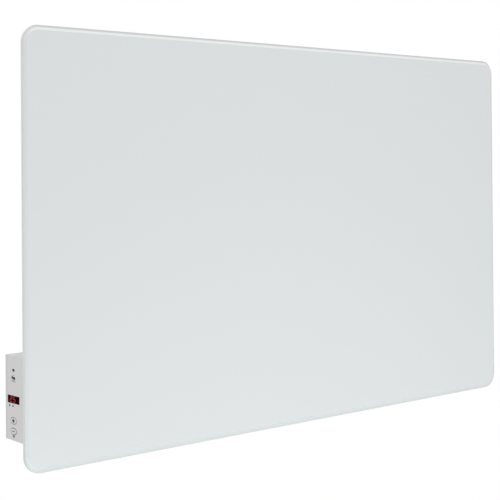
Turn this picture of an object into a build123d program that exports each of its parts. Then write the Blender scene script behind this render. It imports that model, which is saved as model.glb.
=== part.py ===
from build123d import *
from math import floor, radians, tan
import os

# An infrared heater: a white glass panel with a heating laminate on its back, a folded
# steel casing behind it and a small control box beside the casing, hung on two wall rails.
# Millimetres. +X is to the right as seen from the front, +Y points at the wall, +Z is up.
# The origin lies on the wall, midway between the four screw slots of the rails.

os.makedirs("parts", exist_ok=True)

# ---------------------------------------------------------------- driving dimensions
# Glass panel
glass_width = 1000.0
glass_height = 600.0
glass_thickness = 6.0
glass_corner_radius = 25.0
glass_front_arris = 1.5
glass_rear_arris = 0.8
stand_off = 52.0            # wall to the front of the glass

# Heating laminate on the back of the glass
film_margin = 20.0          # casing side to the edge of the films
film_thickness = 0.6
foil_thickness = 0.3
track_thickness = 0.4
track_width = 8.0
track_pitch = 20.0
track_edge = 12.0           # side edge of the films to the track
track_foot = 16.0           # bottom edge of the films to the first row of the track
pad_radius = 7.0
pad_window_radius = 9.0
pad_inset = 17.0            # end of the wiring pocket to the pads

# Casing
casing_edge = 50.0          # edge of the glass to the casing, above and below
casing_depth = 20.0
casing_sheet = 0.8
casing_lip = 10.0
casing_corner_radius = 4.0
casing_bend = 2.0
bead_thickness = 1.5
bead_width = 8.0
insulation_gap = 1.0        # lip to the insulation board
ridge_inset = 144.0         # side of the casing to the end of a ridge
ridge_width = 16.0
ridge_height = 1.5
ridge_pitch = 60.0
ridge_count = 3
ridge_taper = 30.0          # degrees
pocket_length = 130.0
pocket_height = 90.0

# Wall rails and the hooks that hang on them
rail_side_inset = 74.0      # side of the casing to the end of a rail
rail_edge_inset = 70.0      # edge of the casing to the slot row of a rail
rail_sheet = 2.0
rail_height = 40.0
rail_reach = 14.0
rail_lip = 14.0
slot_edge = 30.0            # end of the rail to the middle of its slot
slot_width = 5.5
slot_length = 12.0
hook_inset = 70.0           # end of the rail to the middle of a hook
hook_width = 60.0
hook_sheet = 2.0
hook_flange = 42.0
hook_drop = 10.0
inner_bend = 1.0
rivet_radius = 2.0
rivet_head_radius = 4.0
rivet_head_height = 1.6
rivet_head_round = 1.28
rivet_tail_radius = 3.0
rivet_tail_height = 3.0
rivet_spacing = 36.0
rivet_drop = 24.0           # top of the hook to its rivets
rivet_recess_radius = 4.5

# Control housing
housing_width = 75.5
housing_height = 115.6
housing_rise = 49.6         # bottom of the casing to the middle of the housing
housing_wall = 3.2
housing_edge_radius = 1.0
housing_corner_radius = 3.5  # upright corner beside the glass
housing_draft = 1.5         # degrees, top and bottom faces
housing_inset = 0.5         # side edge of the glass to the housing's face
housing_glass_gap = 0.5
housing_wall_gap = 1.6      # rear of the cover to the wall
cover_rim_depth = 4.8       # rear of the cover to the seam on the sides
cover_rim_wall = 2.4
cover_thickness = 2.5
cover_edge_radius = 0.5
seam_chamfer = 0.4
boss_radius = 3.6
boss_inset = 3.2            # cavity wall to the middle of a boss
boss_setback = 4.8          # back of the board to the side of the nearer bosses
cover_screw_radius = 1.5
cover_screw_head_radius = 2.9
cover_screw_head_height = 1.4
cover_screw_length = 12.0
cover_screw_taper = 45.0    # degrees
drive_radius = 0.9
drive_depth = 1.0
vent_length = 34.0
vent_width = 1.8
vent_pitch = 5.0
vent_count = 7

# Controls on the side face
column_setback = 29.6       # front of the glass to the column of controls
sensor_edge = 20.4          # top of the housing to the sensor window
standby_edge = 6.75         # bottom of the housing to the standby lamp
minus_above_standby = 6.6
key_pitch = 14.2
display_above_plus = 28.3
lamps_below_display = 8.7
lamp_setbacks = (31.2, 39.8)  # front of the glass to each status lamp
display_width = 30.2
display_height = 10.4
lens_clearance = 0.1
lens_flange = 1.0
lens_border = 1.2
sensor_half_width = 3.1
sensor_half_height = 1.9
lamp_half_width = 1.8
lamp_half_height = 1.25
standby_half_width = 2.8
standby_half_height = 1.7
key_half_width = 7.4
key_half_height = 3.9
key_gap = 0.3
key_proud = 0.5
key_travel = 0.5
key_flange_width = 0.6
key_flange_thickness = 1.0
key_edge = 0.3
key_rest_gap = 0.1
plus_mark_bars = ((6.4, 2.0), (3.4, 4.4))  # width and height of each bar
minus_mark_bars = ((9.0, 1.0),)
mark_depth = 0.3
stem_radius = 2.0
switch_size = 6.0
switch_height = 3.5
plunger_radius = 1.75
plunger_proud = 1.5
plunger_engagement = 1.5
plunger_clearance = 0.1

# Control board
board_thickness = 1.6
board_stand = 8.3           # inside of the face to the board
board_gap = 0.5             # edge of the board to the cavity wall
board_hole_inset_y = 5.0
board_hole_inset_z = 6.0
board_screw_radius = 1.1
board_screw_head_radius = 2.2
board_screw_head_height = 1.5
board_screw_length = 6.0
standoff_radius = 2.5
screw_clearance = 0.1
supply_size = (16.0, 18.0, 28.0)
relay_size = (15.0, 15.0, 19.0)
lead_terminal_size = (12.0, 12.0, 18.0)
mains_terminal_size = (12.0, 12.0, 16.0)
board_part_margin = 9.0
module_gap = 0.3
block_gap = 1.0
block_chamfer = 0.6

# Wiring between the housing and the casing
lead_radius = 1.2
lead_pitch = 6.0
earth_offset = 3.2
bush_bore_radius = 4.6
bush_neck_radius = 5.8
bush_flange_radius = 7.6
bush_flange_thickness = 1.5
housing_screw_radius = 2.0
housing_screw_head_radius = 4.0
housing_screw_head_height = 2.6
housing_screw_spread = 30.0
housing_nut_flats = 7.0
housing_nut_height = 3.2
ceramic_size = (16.0, 13.0, 22.0)
ceramic_setback = 22.0      # casing side to the ceramic terminal
ceramic_screw_radius = 1.5
ceramic_screw_head_radius = 3.0
ceramic_screw_head_height = 2.0
ceramic_screw_length = 8.0
cutout_base_radius = 8.0
cutout_base_height = 4.0
cutout_body_radius = 7.0
cutout_tab_reach = 10.5
cutout_tab_width = 4.0
cutout_tab_thickness = 0.8
stud_radius = 2.0
stud_length = 9.0
stud_collar_radius = 3.5
stud_collar_height = 1.3
stud_setback = 18.0         # casing side to the earth stud
stud_rise = 32.0            # middle of the housing to the earth stud
earth_ring_radius = 4.2
earth_ring_thickness = 0.8
earth_nut_flats = 7.0
earth_nut_height = 3.0
lead_straight = 8.0
lead_fan_bend = 8.0
lead_drop_bend = 4.0
earth_turn = 8.0

# Cable gland
gland_bore_radius = 5.2
gland_thread_radius = 8.0
gland_clearance = 0.1
gland_seat_radius = 12.5
gland_seat_rise = 0.5       # floor of the cavity to the top of the seat
gland_hex_flats = 20.0
gland_hex_height = 4.0
gland_neck_length = 8.0
gland_nut_length = 11.5
gland_nut_mouth_radius = 4.6
gland_nut_chamfer = 1.2
gland_seal_bore_radius = 3.5
gland_seal_wall = 3.0
locknut_flats = 21.0
locknut_height = 3.5
thread_overrun = 1.5

# ---------------------------------------------------------------- derived places
# Depths, from the glass to the wall
glass_front_y = -stand_off
glass_back_y = glass_front_y + glass_thickness
track_front_y = glass_back_y + film_thickness
track_back_y = track_front_y + track_thickness
foil_front_y = track_back_y + film_thickness
insulation_front_y = foil_front_y + foil_thickness
casing_front_y = glass_back_y + bead_thickness
casing_rear_y = casing_front_y + casing_depth
casing_inner_y = casing_rear_y - casing_sheet
lead_y = (casing_front_y + casing_rear_y) / 2

# The casing reaches sideways to the control housing, which stands in from the glass's edge
casing_width = glass_width - 2 * (housing_inset + housing_width)
casing_height = glass_height - 2 * casing_edge
casing_foot_z = -casing_height / 2

# Heating track
film_width = casing_width - 2 * film_margin
film_height = casing_height - 2 * film_margin
track_span = film_height - 2 * track_foot - track_width
track_rows = 2 * floor((track_span / track_pitch + 1) / 2)
track_foot_z = casing_foot_z + film_margin + track_foot + track_width / 2
track_right_x = film_width / 2 - track_edge - track_width / 2
track_bus_x = -track_right_x
insulation_width = casing_width - 2 * (casing_lip + insulation_gap)
insulation_height = casing_height - 2 * (casing_lip + insulation_gap)
pocket_left_x = -insulation_width / 2
pocket_right_x = pocket_left_x + pocket_length
pad_x = pocket_right_x - pad_inset

# Rails and hooks
ridge_length = casing_width - 2 * ridge_inset
rail_length = casing_width - 2 * rail_side_inset
slot_x = rail_length / 2 - slot_edge
rail_rows = (casing_height / 2 - rail_edge_inset, rail_edge_inset - casing_height / 2)
hook_columns = (hook_inset - rail_length / 2, rail_length / 2 - hook_inset)
hook_tip_y = (hook_sheet - rail_reach) / 2

# Control housing
housing_left_x = -glass_width / 2 + housing_inset
housing_right_x = -casing_width / 2
housing_mid_x = (housing_left_x + housing_right_x) / 2
housing_front_y = glass_back_y + housing_glass_gap
housing_rear_y = -housing_wall_gap
housing_depth = housing_rear_y - housing_front_y
housing_mid_y = (housing_front_y + housing_rear_y) / 2
housing_mid_z = casing_foot_z + housing_rise
housing_front_half = housing_height / 2
housing_rear_half = housing_front_half - housing_depth * tan(radians(housing_draft))
seam_y = housing_rear_y - cover_rim_depth
housing_bottom_z = housing_mid_z - housing_front_half
housing_top_z = housing_mid_z + housing_front_half
cavity_left_x = housing_left_x + housing_wall
cavity_right_x = housing_right_x - housing_wall
cavity_front_y = housing_front_y + housing_wall
cavity_width = cavity_right_x - cavity_left_x
cavity_half_height = housing_rear_half - housing_wall
cavity_floor_z = housing_mid_z - cavity_half_height
cover_seat_y = housing_rear_y - cover_thickness

# Controls
column_y = glass_front_y + column_setback
standby_z = housing_bottom_z + standby_edge
minus_z = standby_z + minus_above_standby
plus_z = minus_z + key_pitch
display_z = plus_z + display_above_plus
lamps_z = display_z - lamps_below_display
lamp_places = [(glass_front_y + setback, lamps_z) for setback in lamp_setbacks]
sensor_z = housing_top_z - sensor_edge

# Control board
board_x = cavity_left_x + board_stand
board_back_x = board_x + board_thickness
board_depth = cover_seat_y - cavity_front_y - 2 * board_gap
board_mid_y = (cover_seat_y + cavity_front_y) / 2
board_height = 2 * (cavity_half_height - board_gap)
board_hole_y = board_depth / 2 - board_hole_inset_y
board_hole_z = board_height / 2 - board_hole_inset_z
board_front_y = board_mid_y - board_depth / 2
boss_left_x = board_back_x + boss_setback + boss_radius
boss_right_x = cavity_right_x - boss_inset
boss_mid_x = (boss_left_x + boss_right_x) / 2
boss_spread_z = cavity_half_height - boss_inset
lead_start_x = board_back_x + lead_terminal_size[0]

# Ceramic terminal, cut-outs and earth stud
ceramic_left_x = -casing_width / 2 + ceramic_setback
ceramic_right_x = ceramic_left_x + ceramic_size[0]
ceramic_mid_x = (ceramic_left_x + ceramic_right_x) / 2
cutout_x = (ceramic_right_x + pad_x) / 2
stud_x = -casing_width / 2 + stud_setback
stud_z = housing_mid_z + stud_rise
ring_back_y = casing_inner_y - stud_collar_height
ring_mid_y = ring_back_y - earth_ring_thickness / 2

# Cable gland
gland_x = boss_mid_x
gland_y = housing_mid_y
gland_seat_top_z = cavity_floor_z + gland_seat_rise
gland_hex_bottom_z = housing_bottom_z - gland_hex_height
gland_neck_bottom_z = gland_hex_bottom_z - gland_neck_length
gland_seal_radius = gland_seal_bore_radius + gland_seal_wall


# ---------------------------------------------------------------- shared helpers
def facing(y):
    """The plane at depth y whose own axes are X and Z; a positive extrusion goes to the front."""
    return Plane.XZ.offset(-y)


def row_z(row):
    """Height of one row of the heating track, counted from the bottom."""
    return track_foot_z + row * track_pitch


def rail_lip_top(slot_z):
    """Height of the upper edge of a rail's lip, where the hooks rest."""
    return slot_z - rail_height / 2 + rail_lip


def rivet_places(slot_z):
    """The places of the rivets of both hooks on one rail."""
    rivet_z = rail_lip_top(slot_z) + hook_sheet - rivet_drop
    return [
        (column + side * rivet_spacing / 2, rivet_z) for column in hook_columns for side in (-1, 1)
    ]


all_rivet_places = [place for slot_z in rail_rows for place in rivet_places(slot_z)]
pad_places = [(pad_x, row_z(0)), (pad_x, row_z(1))]
housing_screw_places = [
    (lead_y, housing_mid_z + side * housing_screw_spread) for side in (-1, 1)
]
board_screw_places = [
    (board_mid_y + across * board_hole_y, housing_mid_z + up * board_hole_z)
    for across in (-1, 1)
    for up in (-1, 1)
]
cover_screw_places = [
    (boss_x, housing_mid_z + up * boss_spread_z)
    for boss_x in (boss_left_x, boss_right_x)
    for up in (-1, 1)
]
cover_screw_planes = [
    Plane((place_x, housing_rear_y, place_z), z_dir=(0, 1, 0))
    for place_x, place_z in cover_screw_places
]
pole_places = [(lead_y, housing_mid_z + side * lead_pitch / 2) for side in (-1, 1)]
earth_pole = (lead_y + earth_offset, housing_mid_z)


# ---------------------------------------------------------------- glass and laminate
with BuildPart() as glass_panel:
    with BuildSketch(facing(glass_back_y)):
        RectangleRounded(glass_width, glass_height, glass_corner_radius)
    extrude(amount=glass_thickness)
    chamfer(glass_panel.edges().group_by(Axis.Y)[0], length=glass_front_arris)
    chamfer(glass_panel.edges().group_by(Axis.Y)[-1], length=glass_rear_arris)
glass_panel.part.label = "glass_panel"
export_step(glass_panel.part, "parts/glass_panel.step")

with BuildPart() as base_film:
    with BuildSketch(facing(track_front_y)):
        Rectangle(film_width, film_height)
    extrude(amount=film_thickness)
base_film.part.label = "base_film"
export_step(base_film.part, "parts/base_film.step")

# The track runs to and fro in rows. Its first rows stop short of the wiring pocket, and a
# bus down the left side brings its far end back to the second pad.
row_lefts = [pad_x] + 2 * [pocket_right_x + track_width]
row_lefts += (track_rows - len(row_lefts) - 1) * [track_bus_x + track_pitch] + [track_bus_x]
with BuildPart() as heating_track:
    with BuildSketch(facing(track_back_y)):
        for row, left in enumerate(row_lefts):
            with Locations(((left + track_right_x) / 2, row_z(row))):
                Rectangle(track_right_x - left + track_width, track_width)
        for row in range(track_rows - 1):
            turn_x = track_right_x if row % 2 == 0 else row_lefts[row]
            with Locations((turn_x, (row_z(row) + row_z(row + 1)) / 2)):
                Rectangle(track_width, track_pitch + track_width)
        bus_top_z = row_z(track_rows - 1)
        bus_foot_z = row_z(1)
        with Locations((track_bus_x, (bus_top_z + bus_foot_z) / 2)):
            Rectangle(track_width, bus_top_z - bus_foot_z + track_width)
        with Locations(((track_bus_x + pad_x) / 2, bus_foot_z)):
            Rectangle(pad_x - track_bus_x, track_width)
        with Locations(*pad_places):
            Circle(pad_radius)
    extrude(amount=track_thickness)
heating_track.part.label = "heating_track"
export_step(heating_track.part, "parts/heating_track.step")

with BuildPart() as cover_film:
    with BuildSketch(facing(foil_front_y)):
        Rectangle(film_width, film_height)
        with Locations(*pad_places):
            Circle(pad_window_radius, mode=Mode.SUBTRACT)
    extrude(amount=film_thickness)
cover_film.part.label = "cover_film"
export_step(cover_film.part, "parts/cover_film.step")

with BuildPart() as reflector_foil:
    with BuildSketch(facing(insulation_front_y)):
        Rectangle(film_width, film_height)
        with Locations(*pad_places):
            Circle(pad_window_radius, mode=Mode.SUBTRACT)
    extrude(amount=foil_thickness)
reflector_foil.part.label = "reflector_foil"
export_step(reflector_foil.part, "parts/reflector_foil.step")

with BuildPart() as insulation_board:
    with BuildSketch(facing(casing_inner_y)):
        Rectangle(insulation_width, insulation_height)
        with Locations(((pocket_left_x + pocket_right_x) / 2, (row_z(0) + row_z(1)) / 2)):
            Rectangle(pocket_length, pocket_height, mode=Mode.SUBTRACT)
    extrude(amount=casing_inner_y - insulation_front_y)
    with BuildSketch(facing(casing_inner_y)):
        with Locations(*all_rivet_places):
            Circle(rivet_recess_radius)
    extrude(amount=rivet_tail_height + insulation_gap, mode=Mode.SUBTRACT)
insulation_board.part.label = "insulation_board"
export_step(insulation_board.part, "parts/insulation_board.step")

# ---------------------------------------------------------------- casing
with BuildPart() as bonding_bead:
    with BuildSketch(facing(casing_front_y)):
        bead_inset = casing_lip - bead_width
        RectangleRounded(
            casing_width - bead_inset, casing_height - bead_inset, casing_corner_radius
        )
        bead_inner = bead_inset / 2 + bead_width
        Rectangle(
            casing_width - 2 * bead_inner, casing_height - 2 * bead_inner, mode=Mode.SUBTRACT
        )
    extrude(amount=bead_thickness)
bonding_bead.part.label = "bonding_bead"
export_step(bonding_bead.part, "parts/bonding_bead.step")

with BuildPart() as casing_cavity:
    with BuildSketch(facing(casing_inner_y)):
        RectangleRounded(
            casing_width - 2 * casing_sheet,
            casing_height - 2 * casing_sheet,
            casing_corner_radius - casing_sheet,
        )
    extrude(amount=casing_depth - 2 * casing_sheet)
    fillet(casing_cavity.edges().group_by(Axis.Y)[-1], radius=casing_bend - casing_sheet)

with BuildPart() as rear_casing:
    with BuildSketch(facing(casing_rear_y)):
        RectangleRounded(casing_width, casing_height, casing_corner_radius)
    extrude(amount=casing_depth)
    fillet(rear_casing.edges().group_by(Axis.Y)[-1], radius=casing_bend)
    add(casing_cavity.part, mode=Mode.SUBTRACT)
    with BuildSketch(facing(casing_front_y + casing_sheet)):
        Rectangle(casing_width - 2 * casing_lip, casing_height - 2 * casing_lip)
    extrude(amount=casing_sheet, mode=Mode.SUBTRACT)
    with BuildSketch(facing(casing_rear_y)):
        with GridLocations(0, ridge_pitch, 1, ridge_count):
            SlotOverall(ridge_length, ridge_width)
    extrude(amount=-ridge_height, taper=ridge_taper)
    with BuildSketch(facing(casing_inner_y)):
        with GridLocations(0, ridge_pitch, 1, ridge_count):
            SlotOverall(ridge_length - 2 * casing_sheet, ridge_width - 2 * casing_sheet)
    extrude(amount=-ridge_height, taper=ridge_taper, mode=Mode.SUBTRACT)
    with BuildSketch(facing(casing_rear_y)):
        with Locations(*all_rivet_places):
            Circle(rivet_radius + screw_clearance)
        with Locations((ceramic_mid_x, housing_mid_z)):
            Circle(ceramic_screw_radius + screw_clearance)
    extrude(amount=casing_sheet, mode=Mode.SUBTRACT)
    with BuildSketch(Plane.YZ.offset(housing_right_x)):
        with Locations((lead_y, housing_mid_z)):
            Circle(bush_neck_radius + screw_clearance)
        with Locations(*housing_screw_places):
            Circle(housing_screw_radius + screw_clearance)
    extrude(amount=casing_sheet, mode=Mode.SUBTRACT)
rear_casing.part.label = "rear_casing"
export_step(rear_casing.part, "parts/rear_casing.step")


# ---------------------------------------------------------------- rails, hooks, rivets
def wall_rail(slot_z):
    """A J-shaped rail against the wall, with a screw slot near each end."""
    bottom_z = slot_z - rail_height / 2
    with BuildPart() as rail:
        with BuildSketch(Plane.YZ):
            with BuildLine():
                FilletPolyline(
                    (0, slot_z + rail_height / 2),
                    (0, bottom_z),
                    (-rail_reach, bottom_z),
                    (-rail_reach, rail_lip_top(slot_z)),
                    radius=rail_sheet + inner_bend,
                )
                offset(amount=rail_sheet, side=Side.RIGHT)
            make_face()
        extrude(amount=rail_length / 2, both=True)
        with BuildSketch(facing(0)):
            with Locations((-slot_x, slot_z), (slot_x, slot_z)):
                SlotOverall(slot_length, slot_width)
        extrude(amount=rail_sheet, mode=Mode.SUBTRACT)
    return rail.part


def hanging_hook(middle_x, slot_z):
    """A hook that is riveted to the casing and drops its tip behind the rail's lip."""
    top_z = rail_lip_top(slot_z) + hook_sheet
    with BuildPart() as hook:
        with BuildSketch(Plane.YZ.offset(middle_x)):
            with BuildLine():
                FilletPolyline(
                    (casing_rear_y, top_z - hook_flange),
                    (casing_rear_y, top_z),
                    (hook_tip_y, top_z),
                    (hook_tip_y, top_z - hook_sheet - hook_drop),
                    radius=hook_sheet + inner_bend,
                )
                offset(amount=hook_sheet, side=Side.RIGHT)
            make_face()
        extrude(amount=hook_width / 2, both=True)
        with BuildSketch(facing(casing_rear_y + hook_sheet)):
            with Locations(*rivet_places(slot_z)):
                Circle(rivet_radius + screw_clearance)
        extrude(amount=hook_sheet, mode=Mode.SUBTRACT)
    return hook.part


for level, slot_z in zip(("upper", "lower"), rail_rows):
    rail = wall_rail(slot_z)
    rail.label = "wall_rail_" + level
    export_step(rail, "parts/wall_rail_" + level + ".step")
    for side, middle_x in zip(("left", "right"), hook_columns):
        hook = hanging_hook(middle_x, slot_z)
        hook.label = "hanging_hook_" + level + "_" + side
        export_step(hook, "parts/hanging_hook_" + level + "_" + side + ".step")

with BuildPart() as hook_rivets:
    with BuildSketch(facing(casing_rear_y + hook_sheet)):
        with Locations(*all_rivet_places):
            Circle(rivet_head_radius)
    extrude(amount=-rivet_head_height)
    fillet(hook_rivets.edges().group_by(Axis.Y)[-1], radius=rivet_head_round)
    with BuildSketch(facing(casing_rear_y + hook_sheet)):
        with Locations(*all_rivet_places):
            Circle(rivet_radius)
    extrude(amount=hook_sheet + casing_sheet)
    with BuildSketch(facing(casing_inner_y)):
        with Locations(*all_rivet_places):
            Circle(rivet_tail_radius)
    extrude(amount=rivet_tail_height)
hook_rivets.part.label = "hook_rivets"
export_step(hook_rivets.part, "parts/hook_rivets.step")

# ---------------------------------------------------------------- control housing
def housing_block(front_y, rear_y):
    """Outer shape of the control box between two depths, with its drafted top and bottom."""
    corners = [
        (depth, housing_front_half - (depth - housing_front_y) * tan(radians(housing_draft)))
        for depth in (front_y, rear_y)
    ]
    with BuildPart() as block:
        with BuildSketch(Plane.YZ.offset(housing_left_x)):
            with BuildLine():
                Polyline(
                    *[(depth, housing_mid_z - half) for depth, half in corners],
                    *[(depth, housing_mid_z + half) for depth, half in reversed(corners)],
                    close=True,
                )
            make_face()
        extrude(amount=housing_width)
    return block.part


with BuildPart() as control_housing:
    add(housing_block(housing_front_y, seam_y))
    left_uprights = control_housing.edges().filter_by(Axis.Z).sort_by(Axis.X)[:2]
    fillet(left_uprights.sort_by(Axis.Y)[0], radius=housing_corner_radius)
    # round the top and bottom, but not where they meet the casing or the cover
    drafted = control_housing.faces().sort_by(Axis.Z)
    outline = drafted[0].edges() + drafted[-1].edges()
    outline = outline.filter_by_position(
        Axis.X, housing_left_x - housing_edge_radius, housing_right_x - housing_edge_radius
    )
    outline = outline.filter_by_position(
        Axis.Y, housing_front_y - housing_edge_radius, seam_y - housing_edge_radius
    )
    fillet(outline, radius=housing_edge_radius)
    seam = control_housing.faces().sort_by(Axis.Y)[-1]
    chamfer(seam.outer_wire().edges(), length=seam_chamfer)
    # cavity, open towards the wall
    with BuildSketch(facing(seam_y)):
        with Locations((housing_mid_x, housing_mid_z)):
            Rectangle(cavity_width, 2 * cavity_half_height)
    extrude(amount=seam_y - cavity_front_y, mode=Mode.SUBTRACT)
    # screw bosses behind the cover, and the board's standoffs
    with BuildSketch(facing(cover_seat_y)):
        with Locations(*cover_screw_places):
            Circle(boss_radius)
    extrude(amount=cover_seat_y - cavity_front_y)
    with BuildSketch(facing(cover_seat_y)):
        with Locations(*cover_screw_places):
            Circle(cover_screw_radius + screw_clearance)
    extrude(amount=cover_screw_length, mode=Mode.SUBTRACT)
    with BuildSketch(Plane.YZ.offset(cavity_left_x)):
        with Locations(*board_screw_places):
            Circle(standoff_radius)
    extrude(amount=board_stand)
    with BuildSketch(Plane.YZ.offset(board_x)):
        with Locations(*board_screw_places):
            Circle(board_screw_radius + screw_clearance)
    extrude(amount=-board_screw_length, mode=Mode.SUBTRACT)
    # flat seat for the cable gland, through the drafted bottom
    with BuildSketch(Plane.XY.offset(housing_bottom_z)):
        with Locations((gland_x, gland_y)):
            Circle(gland_seat_radius)
    extrude(amount=gland_seat_top_z - housing_bottom_z)
    with BuildSketch(Plane.XY.offset(housing_bottom_z)):
        with Locations((gland_x, gland_y)):
            Circle(gland_thread_radius + gland_clearance)
    extrude(amount=gland_seat_top_z - housing_bottom_z, mode=Mode.SUBTRACT)
    # openings in the side face
    with BuildSketch(Plane.YZ.offset(housing_left_x)):
        with Locations((column_y, display_z)):
            Rectangle(display_width + 2 * lens_clearance, display_height + 2 * lens_clearance)
        with Locations((column_y, plus_z), (column_y, minus_z)):
            Ellipse(key_half_width + key_gap, key_half_height + key_gap)
        with Locations((column_y, sensor_z)):
            Ellipse(sensor_half_width + lens_clearance, sensor_half_height + lens_clearance)
        with Locations((column_y, standby_z)):
            Ellipse(standby_half_width + lens_clearance, standby_half_height + lens_clearance)
        with Locations(*lamp_places):
            Ellipse(lamp_half_width + lens_clearance, lamp_half_height + lens_clearance)
    extrude(amount=housing_wall, mode=Mode.SUBTRACT)
    # holes towards the casing
    with BuildSketch(Plane.YZ.offset(cavity_right_x)):
        with Locations((lead_y, housing_mid_z)):
            Circle(bush_neck_radius + screw_clearance)
        with Locations(*housing_screw_places):
            Circle(housing_screw_radius + screw_clearance)
    extrude(amount=housing_wall, mode=Mode.SUBTRACT)
control_housing.part.label = "control_housing"
export_step(control_housing.part, "parts/control_housing.step")

# A shallow lid that carries the housing's sides on to the rear
with BuildPart() as control_rear_cover:
    add(housing_block(seam_y, housing_rear_y))
    side_edges = control_rear_cover.faces().sort_by(Axis.X)[0].edges().sort_by(Axis.Z)
    fillet([side_edges[0], side_edges[-1]], radius=housing_edge_radius)
    fillet(control_rear_cover.faces().sort_by(Axis.Y)[-1].edges(), radius=cover_edge_radius)
    chamfer(control_rear_cover.faces().sort_by(Axis.Y)[0].edges(), length=seam_chamfer)
    with BuildSketch(facing(cover_seat_y)):
        with Locations((housing_mid_x, housing_mid_z)):
            Rectangle(housing_width - 2 * cover_rim_wall, 2 * (housing_rear_half - cover_rim_wall))
    extrude(amount=cover_seat_y - seam_y, mode=Mode.SUBTRACT)
    with BuildSketch(facing(housing_rear_y)):
        with Locations((housing_mid_x, housing_mid_z)):
            with GridLocations(0, vent_pitch, 1, vent_count):
                SlotOverall(vent_length, vent_width)
    extrude(amount=cover_thickness, mode=Mode.SUBTRACT)
    with Locations(*cover_screw_planes):
        CounterSinkHole(
            radius=cover_screw_radius + screw_clearance,
            counter_sink_radius=cover_screw_head_radius + screw_clearance,
            depth=cover_thickness,
        )
control_rear_cover.part.label = "control_rear_cover"
export_step(control_rear_cover.part, "parts/control_rear_cover.step")

with BuildPart() as cover_screws:
    with BuildSketch(facing(housing_rear_y)):
        with Locations(*cover_screw_places):
            Circle(cover_screw_head_radius)
    extrude(amount=cover_screw_head_height, taper=cover_screw_taper)
    with BuildSketch(facing(housing_rear_y)):
        with Locations(*cover_screw_places):
            Circle(cover_screw_radius)
    extrude(amount=cover_screw_length)
    with Locations(*cover_screw_planes):
        Hole(radius=drive_radius, depth=drive_depth)
cover_screws.part.label = "cover_screws"
export_step(cover_screws.part, "parts/cover_screws.step")

with BuildPart() as housing_screws:
    with BuildSketch(Plane.YZ.offset(cavity_right_x)):
        with Locations(*housing_screw_places):
            Circle(housing_screw_head_radius)
    extrude(amount=-housing_screw_head_height)
    with BuildSketch(Plane.YZ.offset(cavity_right_x)):
        with Locations(*housing_screw_places):
            Circle(housing_screw_radius)
    extrude(amount=housing_wall + casing_sheet + housing_nut_height + thread_overrun)
housing_screws.part.label = "housing_screws"
export_step(housing_screws.part, "parts/housing_screws.step")

with BuildPart() as housing_nuts:
    with BuildSketch(Plane.YZ.offset(housing_right_x + casing_sheet)):
        with Locations(*housing_screw_places):
            RegularPolygon(housing_nut_flats / 2, 6, major_radius=False)
            Circle(housing_screw_radius + screw_clearance, mode=Mode.SUBTRACT)
    extrude(amount=housing_nut_height)
housing_nuts.part.label = "housing_nuts"
export_step(housing_nuts.part, "parts/housing_nuts.step")

# ---------------------------------------------------------------- controls on the side face
with BuildPart() as display_lens:
    with BuildSketch(Plane.YZ.offset(housing_left_x)):
        with Locations((column_y, display_z)):
            Rectangle(display_width, display_height)
    extrude(amount=housing_wall)
    with BuildSketch(Plane.YZ.offset(cavity_left_x)):
        with Locations((column_y, display_z)):
            Rectangle(display_width + 2 * lens_border, display_height + 2 * lens_border)
    extrude(amount=lens_flange)
display_lens.part.label = "display_lens"
export_step(display_lens.part, "parts/display_lens.step")

with BuildPart() as display_module:
    with BuildSketch(Plane.YZ.offset(board_x)):
        with Locations((column_y, display_z)):
            Rectangle(display_width, display_height)
    extrude(amount=-(board_stand - lens_flange - module_gap))
display_module.part.label = "display_module"
export_step(display_module.part, "parts/display_module.step")

with BuildPart() as sensor_window:
    with BuildSketch(Plane.YZ.offset(housing_left_x)):
        with Locations((column_y, sensor_z)):
            Ellipse(sensor_half_width, sensor_half_height)
    extrude(amount=housing_wall)
    with BuildSketch(Plane.YZ.offset(cavity_left_x)):
        with Locations((column_y, sensor_z)):
            Ellipse(sensor_half_width + lens_border, sensor_half_height + lens_border)
    extrude(amount=lens_flange)
sensor_window.part.label = "sensor_window"
export_step(sensor_window.part, "parts/sensor_window.step")

with BuildPart() as room_sensor:
    with BuildSketch(Plane.YZ.offset(board_x)):
        with Locations((column_y, sensor_z)):
            Circle(sensor_half_height)
    extrude(amount=-(board_stand - lens_flange - module_gap))
room_sensor.part.label = "room_sensor"
export_step(room_sensor.part, "parts/room_sensor.step")

# Light guides that stand on the board and end level with the face
with BuildPart() as status_lamps:
    with BuildSketch(Plane.YZ.offset(board_x)):
        with Locations(*lamp_places):
            Ellipse(lamp_half_width, lamp_half_height)
    extrude(amount=-(board_stand + housing_wall))
status_lamps.part.label = "status_lamps"
export_step(status_lamps.part, "parts/status_lamps.step")

with BuildPart() as standby_lamp:
    with BuildSketch(Plane.YZ.offset(board_x)):
        with Locations((column_y, standby_z)):
            Ellipse(standby_half_width, standby_half_height)
    extrude(amount=-(board_stand + housing_wall))
standby_lamp.part.label = "standby_lamp"
export_step(standby_lamp.part, "parts/standby_lamp.step")


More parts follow.
